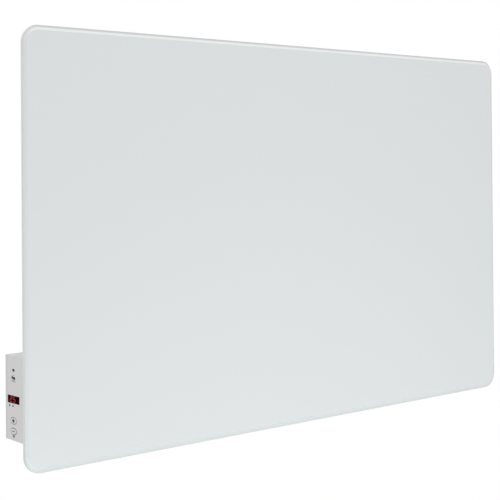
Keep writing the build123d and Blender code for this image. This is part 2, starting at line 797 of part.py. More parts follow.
def press_key(key_z, mark_bars):
    """An oval key with a flange behind the face, a stem that reaches its switch and a sunk mark."""
    flange_x = cavity_left_x + key_rest_gap
    plunger_tip_x = board_x - switch_height - plunger_proud
    with BuildPart() as key:
        with BuildSketch(Plane.YZ.offset(housing_left_x - key_proud)):
            with Locations((column_y, key_z)):
                Ellipse(key_half_width, key_half_height)
        extrude(amount=key_proud + housing_wall + key_rest_gap)
        fillet(key.edges().group_by(Axis.X)[0], radius=key_edge)
        with BuildSketch(Plane.YZ.offset(flange_x)):
            with Locations((column_y, key_z)):
                Ellipse(key_half_width + key_flange_width, key_half_height + key_flange_width)
        extrude(amount=key_flange_thickness)
        with BuildSketch(Plane.YZ.offset(flange_x)):
            with Locations((column_y, key_z)):
                Circle(stem_radius)
        extrude(amount=plunger_tip_x - flange_x)
        with BuildSketch(Plane.YZ.offset(housing_left_x - key_proud)):
            with Locations((column_y, key_z)):
                for bar_size in mark_bars:
                    Rectangle(*bar_size)
        extrude(amount=mark_depth, mode=Mode.SUBTRACT)
    return key.part


def switch_plunger(key_z):
    """The plunger of one key switch, which the key's stem pushes."""
    with BuildPart() as plunger:
        with BuildSketch(Plane.YZ.offset(board_x - switch_height - plunger_proud)):
            with Locations((column_y, key_z)):
                Circle(plunger_radius)
        extrude(amount=plunger_proud + plunger_engagement)
    return plunger.part


for key_name, key_z, mark_bars in (("plus", plus_z, plus_mark_bars), ("minus", minus_z, minus_mark_bars)):
    key = press_key(key_z, mark_bars)
    key.label = key_name + "_key"
    export_step(key, "parts/" + key_name + "_key.step")
    plunger = switch_plunger(key_z)
    plunger.label = key_name + "_plunger"
    export_step(plunger, "parts/" + key_name + "_plunger.step")

with BuildPart() as key_switches:
    with BuildSketch(Plane.YZ.offset(board_x)):
        with Locations((column_y, plus_z), (column_y, minus_z)):
            Rectangle(switch_size, switch_size)
    extrude(amount=-switch_height)
    with BuildSketch(Plane.YZ.offset(board_x - switch_height)):
        with Locations((column_y, plus_z), (column_y, minus_z)):
            Circle(plunger_radius + plunger_clearance)
    extrude(amount=plunger_engagement + key_travel + module_gap, mode=Mode.SUBTRACT)
key_switches.part.label = "key_switches"
export_step(key_switches.part, "parts/key_switches.step")

# ---------------------------------------------------------------- control board
with BuildPart() as control_board:
    with BuildSketch(Plane.YZ.offset(board_x)):
        with Locations((board_mid_y, housing_mid_z)):
            Rectangle(board_depth, board_height)
        with Locations(*board_screw_places):
            Circle(board_screw_radius + screw_clearance, mode=Mode.SUBTRACT)
    extrude(amount=board_thickness)
control_board.part.label = "control_board"
export_step(control_board.part, "parts/control_board.step")

with BuildPart() as board_screws:
    with BuildSketch(Plane.YZ.offset(board_back_x)):
        with Locations(*board_screw_places):
            Circle(board_screw_head_radius)
    extrude(amount=board_screw_head_height)
    with BuildSketch(Plane.YZ.offset(board_back_x)):
        with Locations(*board_screw_places):
            Circle(board_screw_radius)
    extrude(amount=-(board_thickness + board_screw_length - module_gap))
board_screws.part.label = "board_screws"
export_step(board_screws.part, "parts/board_screws.step")


def board_block(size, middle_y, middle_z):
    """A component that stands on the inner side of the board."""
    with BuildPart() as block:
        with BuildSketch(Plane.YZ.offset(board_back_x)):
            with Locations((middle_y, middle_z)):
                Rectangle(size[1], size[2])
        extrude(amount=size[0])
        chamfer(block.faces().sort_by(Axis.X)[-1].edges(), length=block_chamfer)
    return block.part


board_top_z = housing_mid_z + board_height / 2
board_foot_z = housing_mid_z - board_height / 2
supply_y = board_front_y + board_gap + supply_size[1] / 2
relay_y = supply_y + supply_size[1] / 2 + block_gap + relay_size[1] / 2
board_blocks = {
    "supply_module": (supply_size, supply_y, board_top_z - board_part_margin - supply_size[2] / 2),
    "power_relay": (relay_size, relay_y, board_top_z - board_part_margin - relay_size[2] / 2),
    "lead_terminal": (lead_terminal_size, lead_y + earth_offset / 2, housing_mid_z),
    "mains_terminal": (
        mains_terminal_size,
        board_mid_y,
        board_foot_z + board_part_margin + mains_terminal_size[2] / 2,
    ),
}
for block_name, (size, middle_y, middle_z) in board_blocks.items():
    block = board_block(size, middle_y, middle_z)
    block.label = block_name
    export_step(block, "parts/" + block_name + ".step")

# ---------------------------------------------------------------- wiring in the casing
with BuildPart() as wire_bush:
    bush_flange_x = cavity_right_x - bush_flange_thickness
    bush_grip = housing_wall + casing_sheet
    with BuildSketch(Plane.YZ.offset(bush_flange_x)):
        with Locations((lead_y, housing_mid_z)):
            Circle(bush_neck_radius)
    extrude(amount=bush_grip + 2 * bush_flange_thickness)
    for flange_x in (bush_flange_x, housing_right_x + casing_sheet):
        with BuildSketch(Plane.YZ.offset(flange_x)):
            with Locations((lead_y, housing_mid_z)):
                Circle(bush_flange_radius)
        extrude(amount=bush_flange_thickness)
    with BuildSketch(Plane.YZ.offset(bush_flange_x)):
        with Locations((lead_y, housing_mid_z)):
            Circle(bush_bore_radius)
    extrude(amount=bush_grip + 2 * bush_flange_thickness, mode=Mode.SUBTRACT)
wire_bush.part.label = "wire_bush"
export_step(wire_bush.part, "parts/wire_bush.step")

with BuildPart() as ceramic_terminal:
    with BuildSketch(facing(casing_inner_y)):
        with Locations((ceramic_mid_x, housing_mid_z)):
            Rectangle(ceramic_size[0], ceramic_size[2])
    extrude(amount=ceramic_size[1])
    chamfer(ceramic_terminal.edges().group_by(Axis.Y)[0], length=block_chamfer)
    with BuildSketch(facing(casing_inner_y)):
        with Locations((ceramic_mid_x, housing_mid_z)):
            Circle(ceramic_screw_radius + screw_clearance)
    extrude(amount=ceramic_screw_length, mode=Mode.SUBTRACT)
ceramic_terminal.part.label = "ceramic_terminal"
export_step(ceramic_terminal.part, "parts/ceramic_terminal.step")

with BuildPart() as ceramic_screw:
    with BuildSketch(facing(casing_rear_y)):
        with Locations((ceramic_mid_x, housing_mid_z)):
            Circle(ceramic_screw_head_radius)
    extrude(amount=-ceramic_screw_head_height)
    fillet(ceramic_screw.edges().group_by(Axis.Y)[-1], radius=ceramic_screw_head_height / 2)
    with BuildSketch(facing(casing_rear_y)):
        with Locations((ceramic_mid_x, housing_mid_z)):
            Circle(ceramic_screw_radius)
    extrude(amount=casing_sheet + ceramic_screw_length - module_gap)
    screw_top_y = casing_rear_y + ceramic_screw_head_height
    with Locations(Plane((ceramic_mid_x, screw_top_y, housing_mid_z), z_dir=(0, 1, 0))):
        Hole(radius=drive_radius, depth=drive_depth)
ceramic_screw.part.label = "ceramic_screw"
export_step(ceramic_screw.part, "parts/ceramic_screw.step")

with BuildPart() as overheat_cutouts:
    cutout_places = [(cutout_x, row_z(0)), (cutout_x, row_z(1))]
    with BuildSketch(facing(insulation_front_y)):
        with Locations(*cutout_places):
            Circle(cutout_base_radius)
    extrude(amount=-cutout_base_height)
    with BuildSketch(facing(insulation_front_y)):
        with Locations(*cutout_places):
            Circle(cutout_body_radius)
    extrude(amount=-(lead_y + lead_radius - insulation_front_y))
    with BuildSketch(facing(lead_y + cutout_tab_thickness / 2)):
        with Locations(*cutout_places):
            Rectangle(2 * cutout_tab_reach, cutout_tab_width)
    extrude(amount=cutout_tab_thickness)
overheat_cutouts.part.label = "overheat_cutouts"
export_step(overheat_cutouts.part, "parts/overheat_cutouts.step")


def round_lead(points, bend):
    """A round lead along straight runs joined by arcs."""
    with BuildPart() as lead:
        with BuildLine() as route:
            FilletPolyline(*points, radius=bend)
        with BuildSketch(Plane(route.line @ 0, z_dir=route.line % 0)):
            Circle(lead_radius)
        sweep(path=route.line)
    return lead.part


with BuildPart() as supply_leads:
    with BuildSketch(Plane.YZ.offset(lead_start_x)):
        with Locations(*pole_places):
            Circle(lead_radius)
    extrude(amount=ceramic_left_x - lead_start_x)
supply_leads.part.label = "supply_leads"
export_step(supply_leads.part, "parts/supply_leads.step")

with BuildPart() as element_leads:
    for (pole_y, pole_z), (pad_left, pad_z) in zip(pole_places, pad_places):
        tab_left_x = cutout_x - cutout_tab_reach
        fan_points = (
            (ceramic_right_x, pole_y, pole_z),
            (ceramic_right_x + lead_straight, pole_y, pole_z),
            (tab_left_x - lead_straight, lead_y, pad_z),
            (tab_left_x, lead_y, pad_z),
        )
        add(round_lead(fan_points, lead_fan_bend))
        drop_points = (
            (cutout_x + cutout_tab_reach, lead_y, pad_z),
            (pad_left, lead_y, pad_z),
            (pad_left, track_back_y, pad_z),
        )
        add(round_lead(drop_points, lead_drop_bend))
element_leads.part.label = "element_leads"
export_step(element_leads.part, "parts/element_leads.step")

with BuildPart() as earth_stud:
    with BuildSketch(facing(casing_inner_y)):
        with Locations((stud_x, stud_z)):
            Circle(stud_collar_radius)
    extrude(amount=stud_collar_height)
    with BuildSketch(facing(casing_inner_y)):
        with Locations((stud_x, stud_z)):
            Circle(stud_radius)
    extrude(amount=stud_length)
earth_stud.part.label = "earth_stud"
export_step(earth_stud.part, "parts/earth_stud.step")

with BuildPart() as earth_nut:
    with BuildSketch(facing(ring_back_y - earth_ring_thickness)):
        with Locations((stud_x, stud_z)):
            RegularPolygon(earth_nut_flats / 2, 6, major_radius=False)
            Circle(stud_radius + screw_clearance, mode=Mode.SUBTRACT)
    extrude(amount=earth_nut_height)
earth_nut.part.label = "earth_nut"
export_step(earth_nut.part, "parts/earth_nut.step")

earth_points = (
    (lead_start_x, *earth_pole),
    (stud_x - earth_turn, *earth_pole),
    (stud_x, ring_mid_y, housing_mid_z + earth_turn),
    (stud_x, ring_mid_y, stud_z - stud_collar_radius),
)
with BuildPart() as earth_lead:
    add(round_lead(earth_points, lead_drop_bend))
    with BuildSketch(facing(ring_back_y)):
        with Locations((stud_x, stud_z)):
            Circle(earth_ring_radius)
    extrude(amount=earth_ring_thickness)
    with BuildSketch(facing(ring_back_y)):
        with Locations((stud_x, stud_z)):
            Circle(stud_radius + screw_clearance)
    extrude(amount=earth_ring_thickness, mode=Mode.SUBTRACT)
earth_lead.part.label = "earth_lead"
export_step(earth_lead.part, "parts/earth_lead.step")

# ---------------------------------------------------------------- cable gland
with BuildPart() as gland_body:
    with BuildSketch(Plane.XY.offset(gland_hex_bottom_z)):
        with Locations((gland_x, gland_y)):
            RegularPolygon(gland_hex_flats / 2, 6, major_radius=False)
    extrude(amount=gland_hex_height)
    with BuildSketch(Plane.XY.offset(gland_neck_bottom_z)):
        with Locations((gland_x, gland_y)):
            Circle(gland_thread_radius)
    extrude(amount=gland_seat_top_z + locknut_height + thread_overrun - gland_neck_bottom_z)
    with BuildSketch(Plane.XY.offset(gland_neck_bottom_z)):
        with Locations((gland_x, gland_y)):
            Circle(gland_bore_radius)
    extrude(
        amount=gland_seat_top_z + locknut_height + thread_overrun - gland_neck_bottom_z,
        mode=Mode.SUBTRACT,
    )
    with BuildSketch(Plane.XY.offset(gland_neck_bottom_z)):
        with Locations((gland_x, gland_y)):
            Circle(gland_seal_radius + gland_clearance)
    extrude(amount=gland_neck_length, mode=Mode.SUBTRACT)
gland_body.part.label = "gland_body"
export_step(gland_body.part, "parts/gland_body.step")

with BuildPart() as gland_seal:
    with BuildSketch(Plane.XY.offset(gland_neck_bottom_z)):
        with Locations((gland_x, gland_y)):
            Circle(gland_seal_radius)
            Circle(gland_seal_bore_radius, mode=Mode.SUBTRACT)
    extrude(amount=gland_neck_length)
gland_seal.part.label = "gland_seal"
export_step(gland_seal.part, "parts/gland_seal.step")

gland_nut_top_z = gland_hex_bottom_z - module_gap
gland_nut_bottom_z = gland_nut_top_z - gland_nut_length
with BuildPart() as gland_nut:
    with BuildSketch(Plane.XY.offset(gland_nut_bottom_z)):
        with Locations((gland_x, gland_y)):
            RegularPolygon(gland_hex_flats / 2, 6, major_radius=False)
    extrude(amount=gland_nut_length)
    chamfer(gland_nut.edges().group_by(Axis.Z)[0], length=gland_nut_chamfer)
    with BuildSketch(Plane.XY.offset(gland_neck_bottom_z)):
        with Locations((gland_x, gland_y)):
            Circle(gland_thread_radius + gland_clearance)
    extrude(amount=gland_nut_length, mode=Mode.SUBTRACT)
    with BuildSketch(Plane.XY.offset(gland_nut_bottom_z)):
        with Locations((gland_x, gland_y)):
            Circle(gland_nut_mouth_radius)
    extrude(amount=gland_nut_length, mode=Mode.SUBTRACT)
gland_nut.part.label = "gland_nut"
export_step(gland_nut.part, "parts/gland_nut.step")

with BuildPart() as gland_locknut:
    with BuildSketch(Plane.XY.offset(gland_seat_top_z)):
        with Locations((gland_x, gland_y)):
            RegularPolygon(locknut_flats / 2, 6, major_radius=False)
            Circle(gland_thread_radius + gland_clearance, mode=Mode.SUBTRACT)
    extrude(amount=locknut_height)
gland_locknut.part.label = "gland_locknut"
export_step(gland_locknut.part, "parts/gland_locknut.step")
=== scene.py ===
"""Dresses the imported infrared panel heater: white enamelled glass, a grey-white control box with
a lit display and two press keys, a powder coated casing, zinc plated wall rails and the wiring."""

import math

import bpy
from bpy.props import FloatProperty, FloatVectorProperty, IntProperty, PointerProperty
from mathutils import Matrix, Vector


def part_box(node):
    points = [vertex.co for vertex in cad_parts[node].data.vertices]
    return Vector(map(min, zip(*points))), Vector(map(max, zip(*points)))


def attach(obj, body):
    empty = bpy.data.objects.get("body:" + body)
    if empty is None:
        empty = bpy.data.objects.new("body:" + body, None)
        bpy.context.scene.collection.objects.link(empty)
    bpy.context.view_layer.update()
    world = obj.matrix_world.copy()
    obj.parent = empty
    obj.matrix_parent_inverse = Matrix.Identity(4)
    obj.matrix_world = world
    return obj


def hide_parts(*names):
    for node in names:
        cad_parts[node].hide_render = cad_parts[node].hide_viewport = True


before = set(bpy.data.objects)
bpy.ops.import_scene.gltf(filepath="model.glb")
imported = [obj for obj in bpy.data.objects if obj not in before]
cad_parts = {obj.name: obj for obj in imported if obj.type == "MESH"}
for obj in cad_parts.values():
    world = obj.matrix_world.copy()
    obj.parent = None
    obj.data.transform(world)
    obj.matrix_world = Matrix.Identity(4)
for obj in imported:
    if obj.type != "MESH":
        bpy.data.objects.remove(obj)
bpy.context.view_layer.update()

bl_info = {
    "name": "Infrared Panel Heater",
    "version": (1, 0, 0),
    "blender": (4, 5, 0),
    "location": "3D View > Sidebar > Panel Heater",
    "description": "Gives the panel heater its glass, plastics, metals, marks and studio",
    "category": "Object",
}

MM = 0.001
PANE_LOW, PANE_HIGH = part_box("glass_panel")
FACE_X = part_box("control_housing")[0].x
LENS_LOW, LENS_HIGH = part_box("display_lens")
WHITE = (1.0, 1.0, 1.0)
SMALL_CORNER_STEPS = 5  # straight pieces in each corner of a small rounded rectangle


def colour(name, description, default):
    """A colour property."""
    return FloatVectorProperty(
        name=name, description=description, default=default, subtype="COLOR", size=3, min=0.0, max=1.0
    )


def length(name, description, default):
    """A length property, in metres."""
    return FloatProperty(
        name=name, description=description, default=default, unit="LENGTH", subtype="DISTANCE", min=0.0,
        precision=5,
    )


def amount(name, description, default):
    """A plain number, 0 or more."""
    return FloatProperty(name=name, description=description, default=default, min=0.0)


def angle(name, description, degrees):
    """An angle property, from its value in degrees."""
    return FloatProperty(
        name=name, description=description, default=math.radians(degrees), unit="ROTATION", subtype="ANGLE",
    )


def point(name, description, default):
    """A place property, in metres from the middle of the wall rails."""
    return FloatVectorProperty(
        name=name, description=description, default=default, unit="LENGTH", subtype="TRANSLATION",
        precision=5,
    )


# ---------------------------------------------------------------- sizes and colours to set
class HeaterPaneSettings(bpy.types.PropertyGroup):
    """The enamelled glass."""

    corner_radius: length("Corner radius", "Radius of the pane's corners", 25.0 * MM)
    bevel_width: length("Bevel width", "Shallow polished bevel around the flat front", 3.2 * MM)
    bevel_depth: length("Bevel depth", "How far the bevel falls back", 0.9 * MM)
    rim_width: length("Rim width", "Rounded rim of clear glass outside the bevel", 3.4 * MM)
    rim_depth: length("Rim depth", "How far the rounded rim falls back", 1.4 * MM)
    rear_arris: length("Rear arris", "Width of the bevel at the rear edge", 0.8 * MM)
    enamel: colour("Enamel", "White enamel seen through the glass", (0.735, 0.758, 0.752))
    # painted light: the bevel gets a lighter tone where it faces up, as if lit from above
    bevel_top_painted_light: colour("Upper bevel", "The enamel under the bevel that faces up", (0.865, 0.873, 0.867))
    rim: colour("Clear rim", "Thin line of clear glass around the enamel", (0.70, 0.725, 0.72))
    # painted shade: the rim gets a darker tone where it faces up or right
    rim_painted_shade: colour("Darker rim", "The same line where it faces up or right", (0.585, 0.585, 0.585))
    side: colour("Side", "Ground side of the glass", (0.88, 0.905, 0.90))
    back: colour("Back", "Back of the enamel", (0.74, 0.75, 0.75))


class HeaterControlSettings(bpy.types.PropertyGroup):
    """The control box and what its face carries."""

    housing: colour("Housing", "Moulded housing", (0.815, 0.82, 0.811))
    cover: colour("Cover", "Rear cover", (0.76, 0.767, 0.76))
    key: colour("Keys", "Press keys", (0.81, 0.815, 0.807))
    ink: colour("Dark ink", "Printed marks", (0.006, 0.007, 0.008))
    pale_ink: colour("Pale ink", "Lighter printed marks", (0.08, 0.08, 0.085))
    ring_ink: colour("Ring ink", "Oval rings around the keys", (0.06, 0.063, 0.06))
    glass: colour("Display window", "Dark red window", (0.034, 0.0008, 0.0012))
    lit: colour("Lit segments", "Light of the digits", (1.0, 0.16, 0.19))
    unlit: colour("Unlit segments", "Digits that are off", (0.045, 0.002, 0.004))
    lamp: colour("Lamps", "Status lamps, off", (0.030, 0.052, 0.038))
    standby: colour("Standby lamp", "Lamp at the foot of the face", (0.20, 0.19, 0.165))
    sensor: colour("Sensor window", "Dark window at the top of the face", (0.012, 0.012, 0.014))
    reading: IntProperty(name="Reading", description="Number on the display", default=25, min=0, max=99)
    glow: amount("Glow", "Strength of the lit segments", 0.8)
    plus_bar_width: length("Plus bar width", "Width of the plus sign's level bar", 6.4 * MM)
    plus_bar_height: length("Plus bar height", "Height of the plus sign's level bar", 2.0 * MM)
    plus_post_width: length("Plus post width", "Width of the plus sign's upright bar", 3.4 * MM)
    plus_post_height: length("Plus post height", "Height of the plus sign's upright bar", 4.4 * MM)
    minus_length: length("Minus length", "Length of the minus sign", 9.0 * MM)
    minus_width: length("Minus width", "Width of the minus sign", 1.0 * MM)
    mark_depth: length("Mark depth", "Depth of the engraving that the ink fills", 0.3 * MM)
    key_flange: length("Key flange", "How far a key's flange reaches past its cap behind the face", 0.6 * MM)
    ring_gap: length("Ring gap", "From a key's edge out to the printed ring", 0.35 * MM)
    ring_width: length("Ring width", "Width of the printed ring", 0.5 * MM)
    pictogram_drop: length("Pictogram drop", "From the sensor window down to the pictogram", 11.2 * MM)
    ink_height: length("Ink height", "Thickness of printed ink", 0.04 * MM)
    window_pane: length("Window pane", "Thickness of the display window in front of the digits", 0.8 * MM)
    window_border: length("Window border", "Flange of the display window behind the face", 1.2 * MM)
    digit_width: length("Digit width", "Between the middles of a digit's upright bars", 4.8 * MM)
    digit_height: length("Digit height", "Between the middles of the top and bottom bars", 7.2 * MM)
    digit_pitch: length("Digit pitch", "From one digit to the next", 8.2 * MM)
    digit_stroke: length("Digit stroke", "Width of a digit's bars", 1.1 * MM)


class HeaterMetalSettings(bpy.types.PropertyGroup):
    """The casing, the rails and the fasteners."""

    casing: colour("Casing", "Powder coat of the casing", (0.70, 0.71, 0.71))
    zinc: colour("Zinc", "Zinc plated rails and hooks", (0.56, 0.575, 0.59))
    screw: colour("Screws", "Plated screws and nuts", (0.62, 0.63, 0.64))
    rivet: colour("Rivets", "Aluminium rivets", (0.70, 0.70, 0.71))
    brass: colour("Brass", "Earth stud and nut", (0.62, 0.42, 0.16))
    foil: colour("Foil", "Reflector foil and heating track", (0.72, 0.72, 0.73))


class HeaterInsideSettings(bpy.types.PropertyGroup):
    """The laminate, the board parts and the leads."""

    film: colour("Film", "Amber insulating film", (0.42, 0.20, 0.04))
    wool: colour("Insulation", "Mineral fibre board", (0.52, 0.48, 0.34))
    sealant: colour("Sealant", "Bead between glass and casing", (0.62, 0.62, 0.60))
    board: colour("Board", "Green circuit board", (0.012, 0.10, 0.035))
    component: colour("Components", "Blue component bodies", (0.015, 0.05, 0.20))
    terminal: colour("Terminals", "Green screw terminals", (0.03, 0.16, 0.05))
    black: colour("Black parts", "Switches, seals and bushes", (0.018, 0.018, 0.019))
    porcelain: colour("Porcelain", "Ceramic terminal", (0.74, 0.71, 0.63))
    lead: colour("Leads", "Silicone insulation of the leads", (0.38, 0.035, 0.018))
    earth: colour("Earth lead", "Insulation of the earth lead", (0.10, 0.30, 0.03))
    gland: colour("Gland", "Grey-white nylon gland", (0.54, 0.545, 0.54))


class HeaterStageSettings(bpy.types.PropertyGroup):
    """The floor, the lamps and the camera."""

    floor_drop: length("Floor drop", "From the middle of the wall rails down to the floor", 1.4)
    floor_reach: length("Floor reach", "From the middle of the floor to its edges", 14.0)
    floor: colour("Floor", "Pale floor", (0.86, 0.86, 0.86))
    floor_white: amount("Floor white", "Share of plain white in the floor below the heater", 0.72)
    fade_start: length("Fade start", "How far out the floor begins to turn plain white", 0.7)
    fade_end: length("Fade end", "How far out the floor is all plain white", 2.4)
    ambient: amount("Ambient", "Strength of the even light from all around", 0.62)
    key_light: amount("Key light", "Power of the high front softbox", 6.5)
    key_place: point("Key place", "Middle of the high front softbox", (-0.4, -2.6, 2.0))
    key_size: length("Key size", "Side of the high front softbox", 2.6)
    fill_light: amount("Fill light", "Power of the low front softbox", 8.4)
    fill_place: point("Fill place", "Middle of the low front softbox", (-0.1, -1.4, -1.0))
    fill_size: length("Fill size", "Side of the low front softbox", 0.8)
    fill_tint: colour("Fill tint", "Tint of the low front softbox", (0.90, 0.96, 1.0))
    top_light: amount("Top light", "Power of the overhead softbox", 24.0)
    top_place: point("Top place", "Middle of the overhead softbox", (0.0, -0.6, 2.6))
    top_size: length("Top size", "Side of the overhead softbox", 2.2)
    side_light: amount("Side light", "Power of the softbox on the left", 6.0)
    side_place: point("Side place", "Middle of the softbox on the left", (-3.0, -0.7, 0.6))
    side_size: length("Side size", "Side of the softbox on the left", 1.4)
    camera_place: point("Camera place", "Where the camera stands", (-1.36008, -1.48599, 0.10369))
    camera_turn: angle("Camera turn", "Turn to the right of straight at the wall", 41.301)
    camera_tilt: angle("Camera tilt", "Tilt up from level", 0.4535)
    camera_roll: angle("Camera roll", "Roll about the line of sight", -0.4445)
    camera_lens: amount("Focal length", "In millimetres, on a sensor 36 mm wide", 89.425)
    camera_shift: FloatProperty(name="Shift", description="Lens shift up or down", default=-0.1806)


# ---------------------------------------------------------------- shader node groups
def put(tree, kind, sockets=None, **settings):
    """A new node, with its settings and with a value or a link in each named socket."""
    node = tree.nodes.new(kind)
    for name, value in settings.items():
        setattr(node, name, value)
    for name, value in (sockets or {}).items():
        if isinstance(value, bpy.types.NodeSocket):
            tree.links.new(value, node.inputs[name])
        else:
            node.inputs[name].default_value = value
    return node


FINISH_INPUTS = [
    ("Tone", "NodeSocketColor", (0.5, 0.5, 0.5, 1.0)),
    ("Tone Drift", "NodeSocketFloat", 0.05),
    ("Roughness", "NodeSocketFloat", 0.5),
    ("Roughness Drift", "NodeSocketFloat", 0.1),
    ("Scale", "NodeSocketFloat", 400.0),
]
FINISH_OUTPUTS = [
    ("Color", "NodeSocketColor"),
    ("Roughness", "NodeSocketFloat"),
    ("Height", "NodeSocketFloat"),
]


def noise(tree, place, scale, detail, **others):
    """The value of a noise pattern. The scale is a number or a socket."""
    sockets = {"Vector": place, "Scale": scale, "Detail": detail, **others}
    return put(tree, "ShaderNodeTexNoise", sockets).outputs["Fac"]


# Each of the five patterns gives a slow value, which the colour drifts with, and a fine value, which
# the roughness drifts with and which is the height of the relief.
def moulded_grain(tree, place, scale):
    """Fine spark-eroded grain of moulded plastic."""
    return noise(tree, place, 22.0, 2.0), noise(tree, place, scale, 3.0, Roughness=0.6)


def orange_peel(tree, place, scale):
    """Low rounded ripple of a powder coat."""
    sockets = {"Vector": place, "Scale": scale, "Smoothness": 1.0}
    cells = put(tree, "ShaderNodeTexVoronoi", sockets, feature="SMOOTH_F1")
    return noise(tree, place, 6.0, 3.0), cells.outputs["Distance"]


def rolled_metal(tree, place, scale):
    """Streaks along the rolling direction, with the broad spangle of a plated sheet."""
    spangle = put(tree, "ShaderNodeTexVoronoi", {"Vector": place, "Scale": 90.0, "Randomness": 1.0})
    patch = put(tree, "ShaderNodeSeparateColor", {"Color": spangle.outputs["Color"]}).outputs["Red"]
    drawn = put(tree, "ShaderNodeVectorMath", {0: place, 1: (0.04, 1.0, 1.0)}, operation="MULTIPLY")
    streak = noise(tree, drawn.outputs[0], scale, 4.0, Roughness=0.65)
    half = put(tree, "ShaderNodeMath", {0: patch, 1: 0.5}, operation="MULTIPLY").outputs[0]
    slow = put(tree, "ShaderNodeMath", {0: streak, 1: 0.5, 2: half}, operation="MULTIPLY_ADD").outputs[0]
    return slow, streak


def fibre_mat(tree, place, scale):
    """Tangled fibres of a pressed mineral board, and the fine grain of sealant and porcelain."""
    return noise(tree, place, 40.0, 6.0), noise(tree, place, scale, 5.0, Distortion=3.0)


def float_glass(tree, place, scale):
    """Broad, barely visible waves of toughened glass and the soft clouding of its enamel."""
    return noise(tree, place, 2.2, 2.0), noise(tree, place, scale, 1.0)


PATTERNS = {
    "Moulded Grain": moulded_grain,
    "Orange Peel": orange_peel,
    "Rolled Metal": rolled_metal,
    "Fibre Mat": fibre_mat,
    "Float Glass": float_glass,
}


def swing(tree, pattern, reach, middle):
    """A value that swings about its middle with a pattern that swings about one half."""
    centred = put(tree, "ShaderNodeMath", {0: pattern, 1: 0.5}, operation="SUBTRACT").outputs[0]
    return put(tree, "ShaderNodeMath", {0: centred, 1: reach, 2: middle}, operation="MULTIPLY_ADD").outputs[0]


def effect(name):
    """The named node group, built once. Its colour and roughness swing about their set values."""
    tree = bpy.data.node_groups.get(name)
    if tree:
        return tree
    tree = bpy.data.node_groups.new(name, "ShaderNodeTree")
    for socket_name, kind, default in FINISH_INPUTS:
        socket = tree.interface.new_socket(socket_name, in_out="INPUT", socket_type=kind)
        socket.default_value = default
    for socket_name, kind in FINISH_OUTPUTS:
        tree.interface.new_socket(socket_name, in_out="OUTPUT", socket_type=kind)
    given = tree.nodes.new("NodeGroupInput").outputs
    result = tree.nodes.new("NodeGroupOutput").inputs
    place = tree.nodes.new("ShaderNodeTexCoord").outputs["Object"]
    slow, fine = PATTERNS[name](tree, place, given["Scale"])
    gain = swing(tree, slow, given["Tone Drift"], 1.0)
    tone = put(tree, "ShaderNodeVectorMath", {0: given["Tone"], "Scale": gain}, operation="SCALE").outputs[0]
    rough = swing(tree, fine, given["Roughness Drift"], given["Roughness"])
    for value, socket_name in ((tone, "Color"), (rough, "Roughness"), (fine, "Height")):
        tree.links.new(value, result[socket_name])
    return tree


def finish(name, group, tone, drift=0.04, rough=0.5, rough_drift=0.1, scale=400.0, relief=0.0, shader=None):
    """A material whose colour, roughness and relief come from a node group, built once.
    relief is the depth of the surface pattern in metres; shader holds the shader's own constants."""
    known = bpy.data.materials.get(name)
    if known:
        return known
    material = bpy.data.materials.new(name)
    material.use_nodes = True
    tree = material.node_tree
    surface = tree.nodes["Principled BSDF"]
    sockets = {
        "Tone": (*tone, 1.0),
        "Tone Drift": drift,
        "Roughness": rough,
        "Roughness Drift": rough_drift,
        "Scale": scale,
    }
    pattern = put(tree, "ShaderNodeGroup", sockets, node_tree=effect(group))
    tree.links.new(pattern.outputs["Color"], surface.inputs["Base Color"])
    tree.links.new(pattern.outputs["Roughness"], surface.inputs["Roughness"])
    if relief:
        bump = put(tree, "ShaderNodeBump", {"Height": pattern.outputs["Height"], "Distance": relief})
        tree.links.new(bump.outputs["Normal"], surface.inputs["Normal"])
    for socket_name, value in (shader or {}).items():
        surface.inputs[socket_name].default_value = value
    material.diffuse_color = (*tone, 1.0)
    return material


# ---------------------------------------------------------------- meshes
def make_piece(name, points, faces, body, slot, materials, smooth_angle=35.0):
    """A mesh piece that rides on a body. Each face comes with the index of its material in the list."""
    mesh = bpy.data.meshes.new(name)
    mesh.from_pydata([tuple(p) for p in points], [], [f[0] for f in faces])
    for material in materials:
        mesh.materials.append(material)
    for polygon, (_, index) in zip(mesh.polygons, faces):
        polygon.material_index = index
        polygon.use_smooth = True
    mesh.validate()
    mesh.set_sharp_from_angle(angle=math.radians(smooth_angle))
    piece = bpy.data.objects.new(name, mesh)
    bpy.context.scene.collection.objects.link(piece)
    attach(piece, body)
    return piece


def middle_of(low, high):
    """Where the middle of a box lies on the control face: its y and its z."""
    return (low.y + high.y) / 2, (low.z + high.z) / 2


def rounded_rectangle(width, height, radius, steps):
    """Points of a rounded rectangle about the origin, counter-clockwise."""
    points = []
    for corner, (side_x, side_y) in enumerate(((1, 1), (-1, 1), (-1, -1), (1, -1))):
        centre_x = side_x * (width / 2 - radius)
        centre_y = side_y * (height / 2 - radius)
        for step in range(steps + 1):
            turn = math.radians(90 * (corner + step / steps))
            points.append((centre_x + radius * math.cos(turn), centre_y + radius * math.sin(turn)))
    return points


def bar(across, thickness):
    """Points of a straight bar about the origin."""
    half, rise = across / 2, thickness / 2
    return [(half, -rise), (half, rise), (-half, rise), (-half, -rise)]


def cross(bar_width, bar_height, post_width, post_height):
    """Points of a plus sign about the origin, counter-clockwise."""
    right, rise, side, top = bar_width / 2, bar_height / 2, post_width / 2, post_height / 2
    half = [(right, -rise), (right, rise), (side, rise), (side, top), (-side, top), (-side, rise)]
    return half + [(-u, -v) for u, v in half]


def ellipse(half_width, half_height, steps=48):
    """Points of an ellipse about the origin, counter-clockwise."""
    turns = [2 * math.pi * step / steps for step in range(steps)]
    return [(half_width * math.cos(turn), half_height * math.sin(turn)) for turn in turns]


def strip(low, high, count, material=0):
    """Faces between two closed loops of count points, whose first points are numbers low and high."""
    following = [(i + 1) % count for i in range(count)]
    return [((low + i, high + i, high + j, low + j), material) for i, j in enumerate(following)]


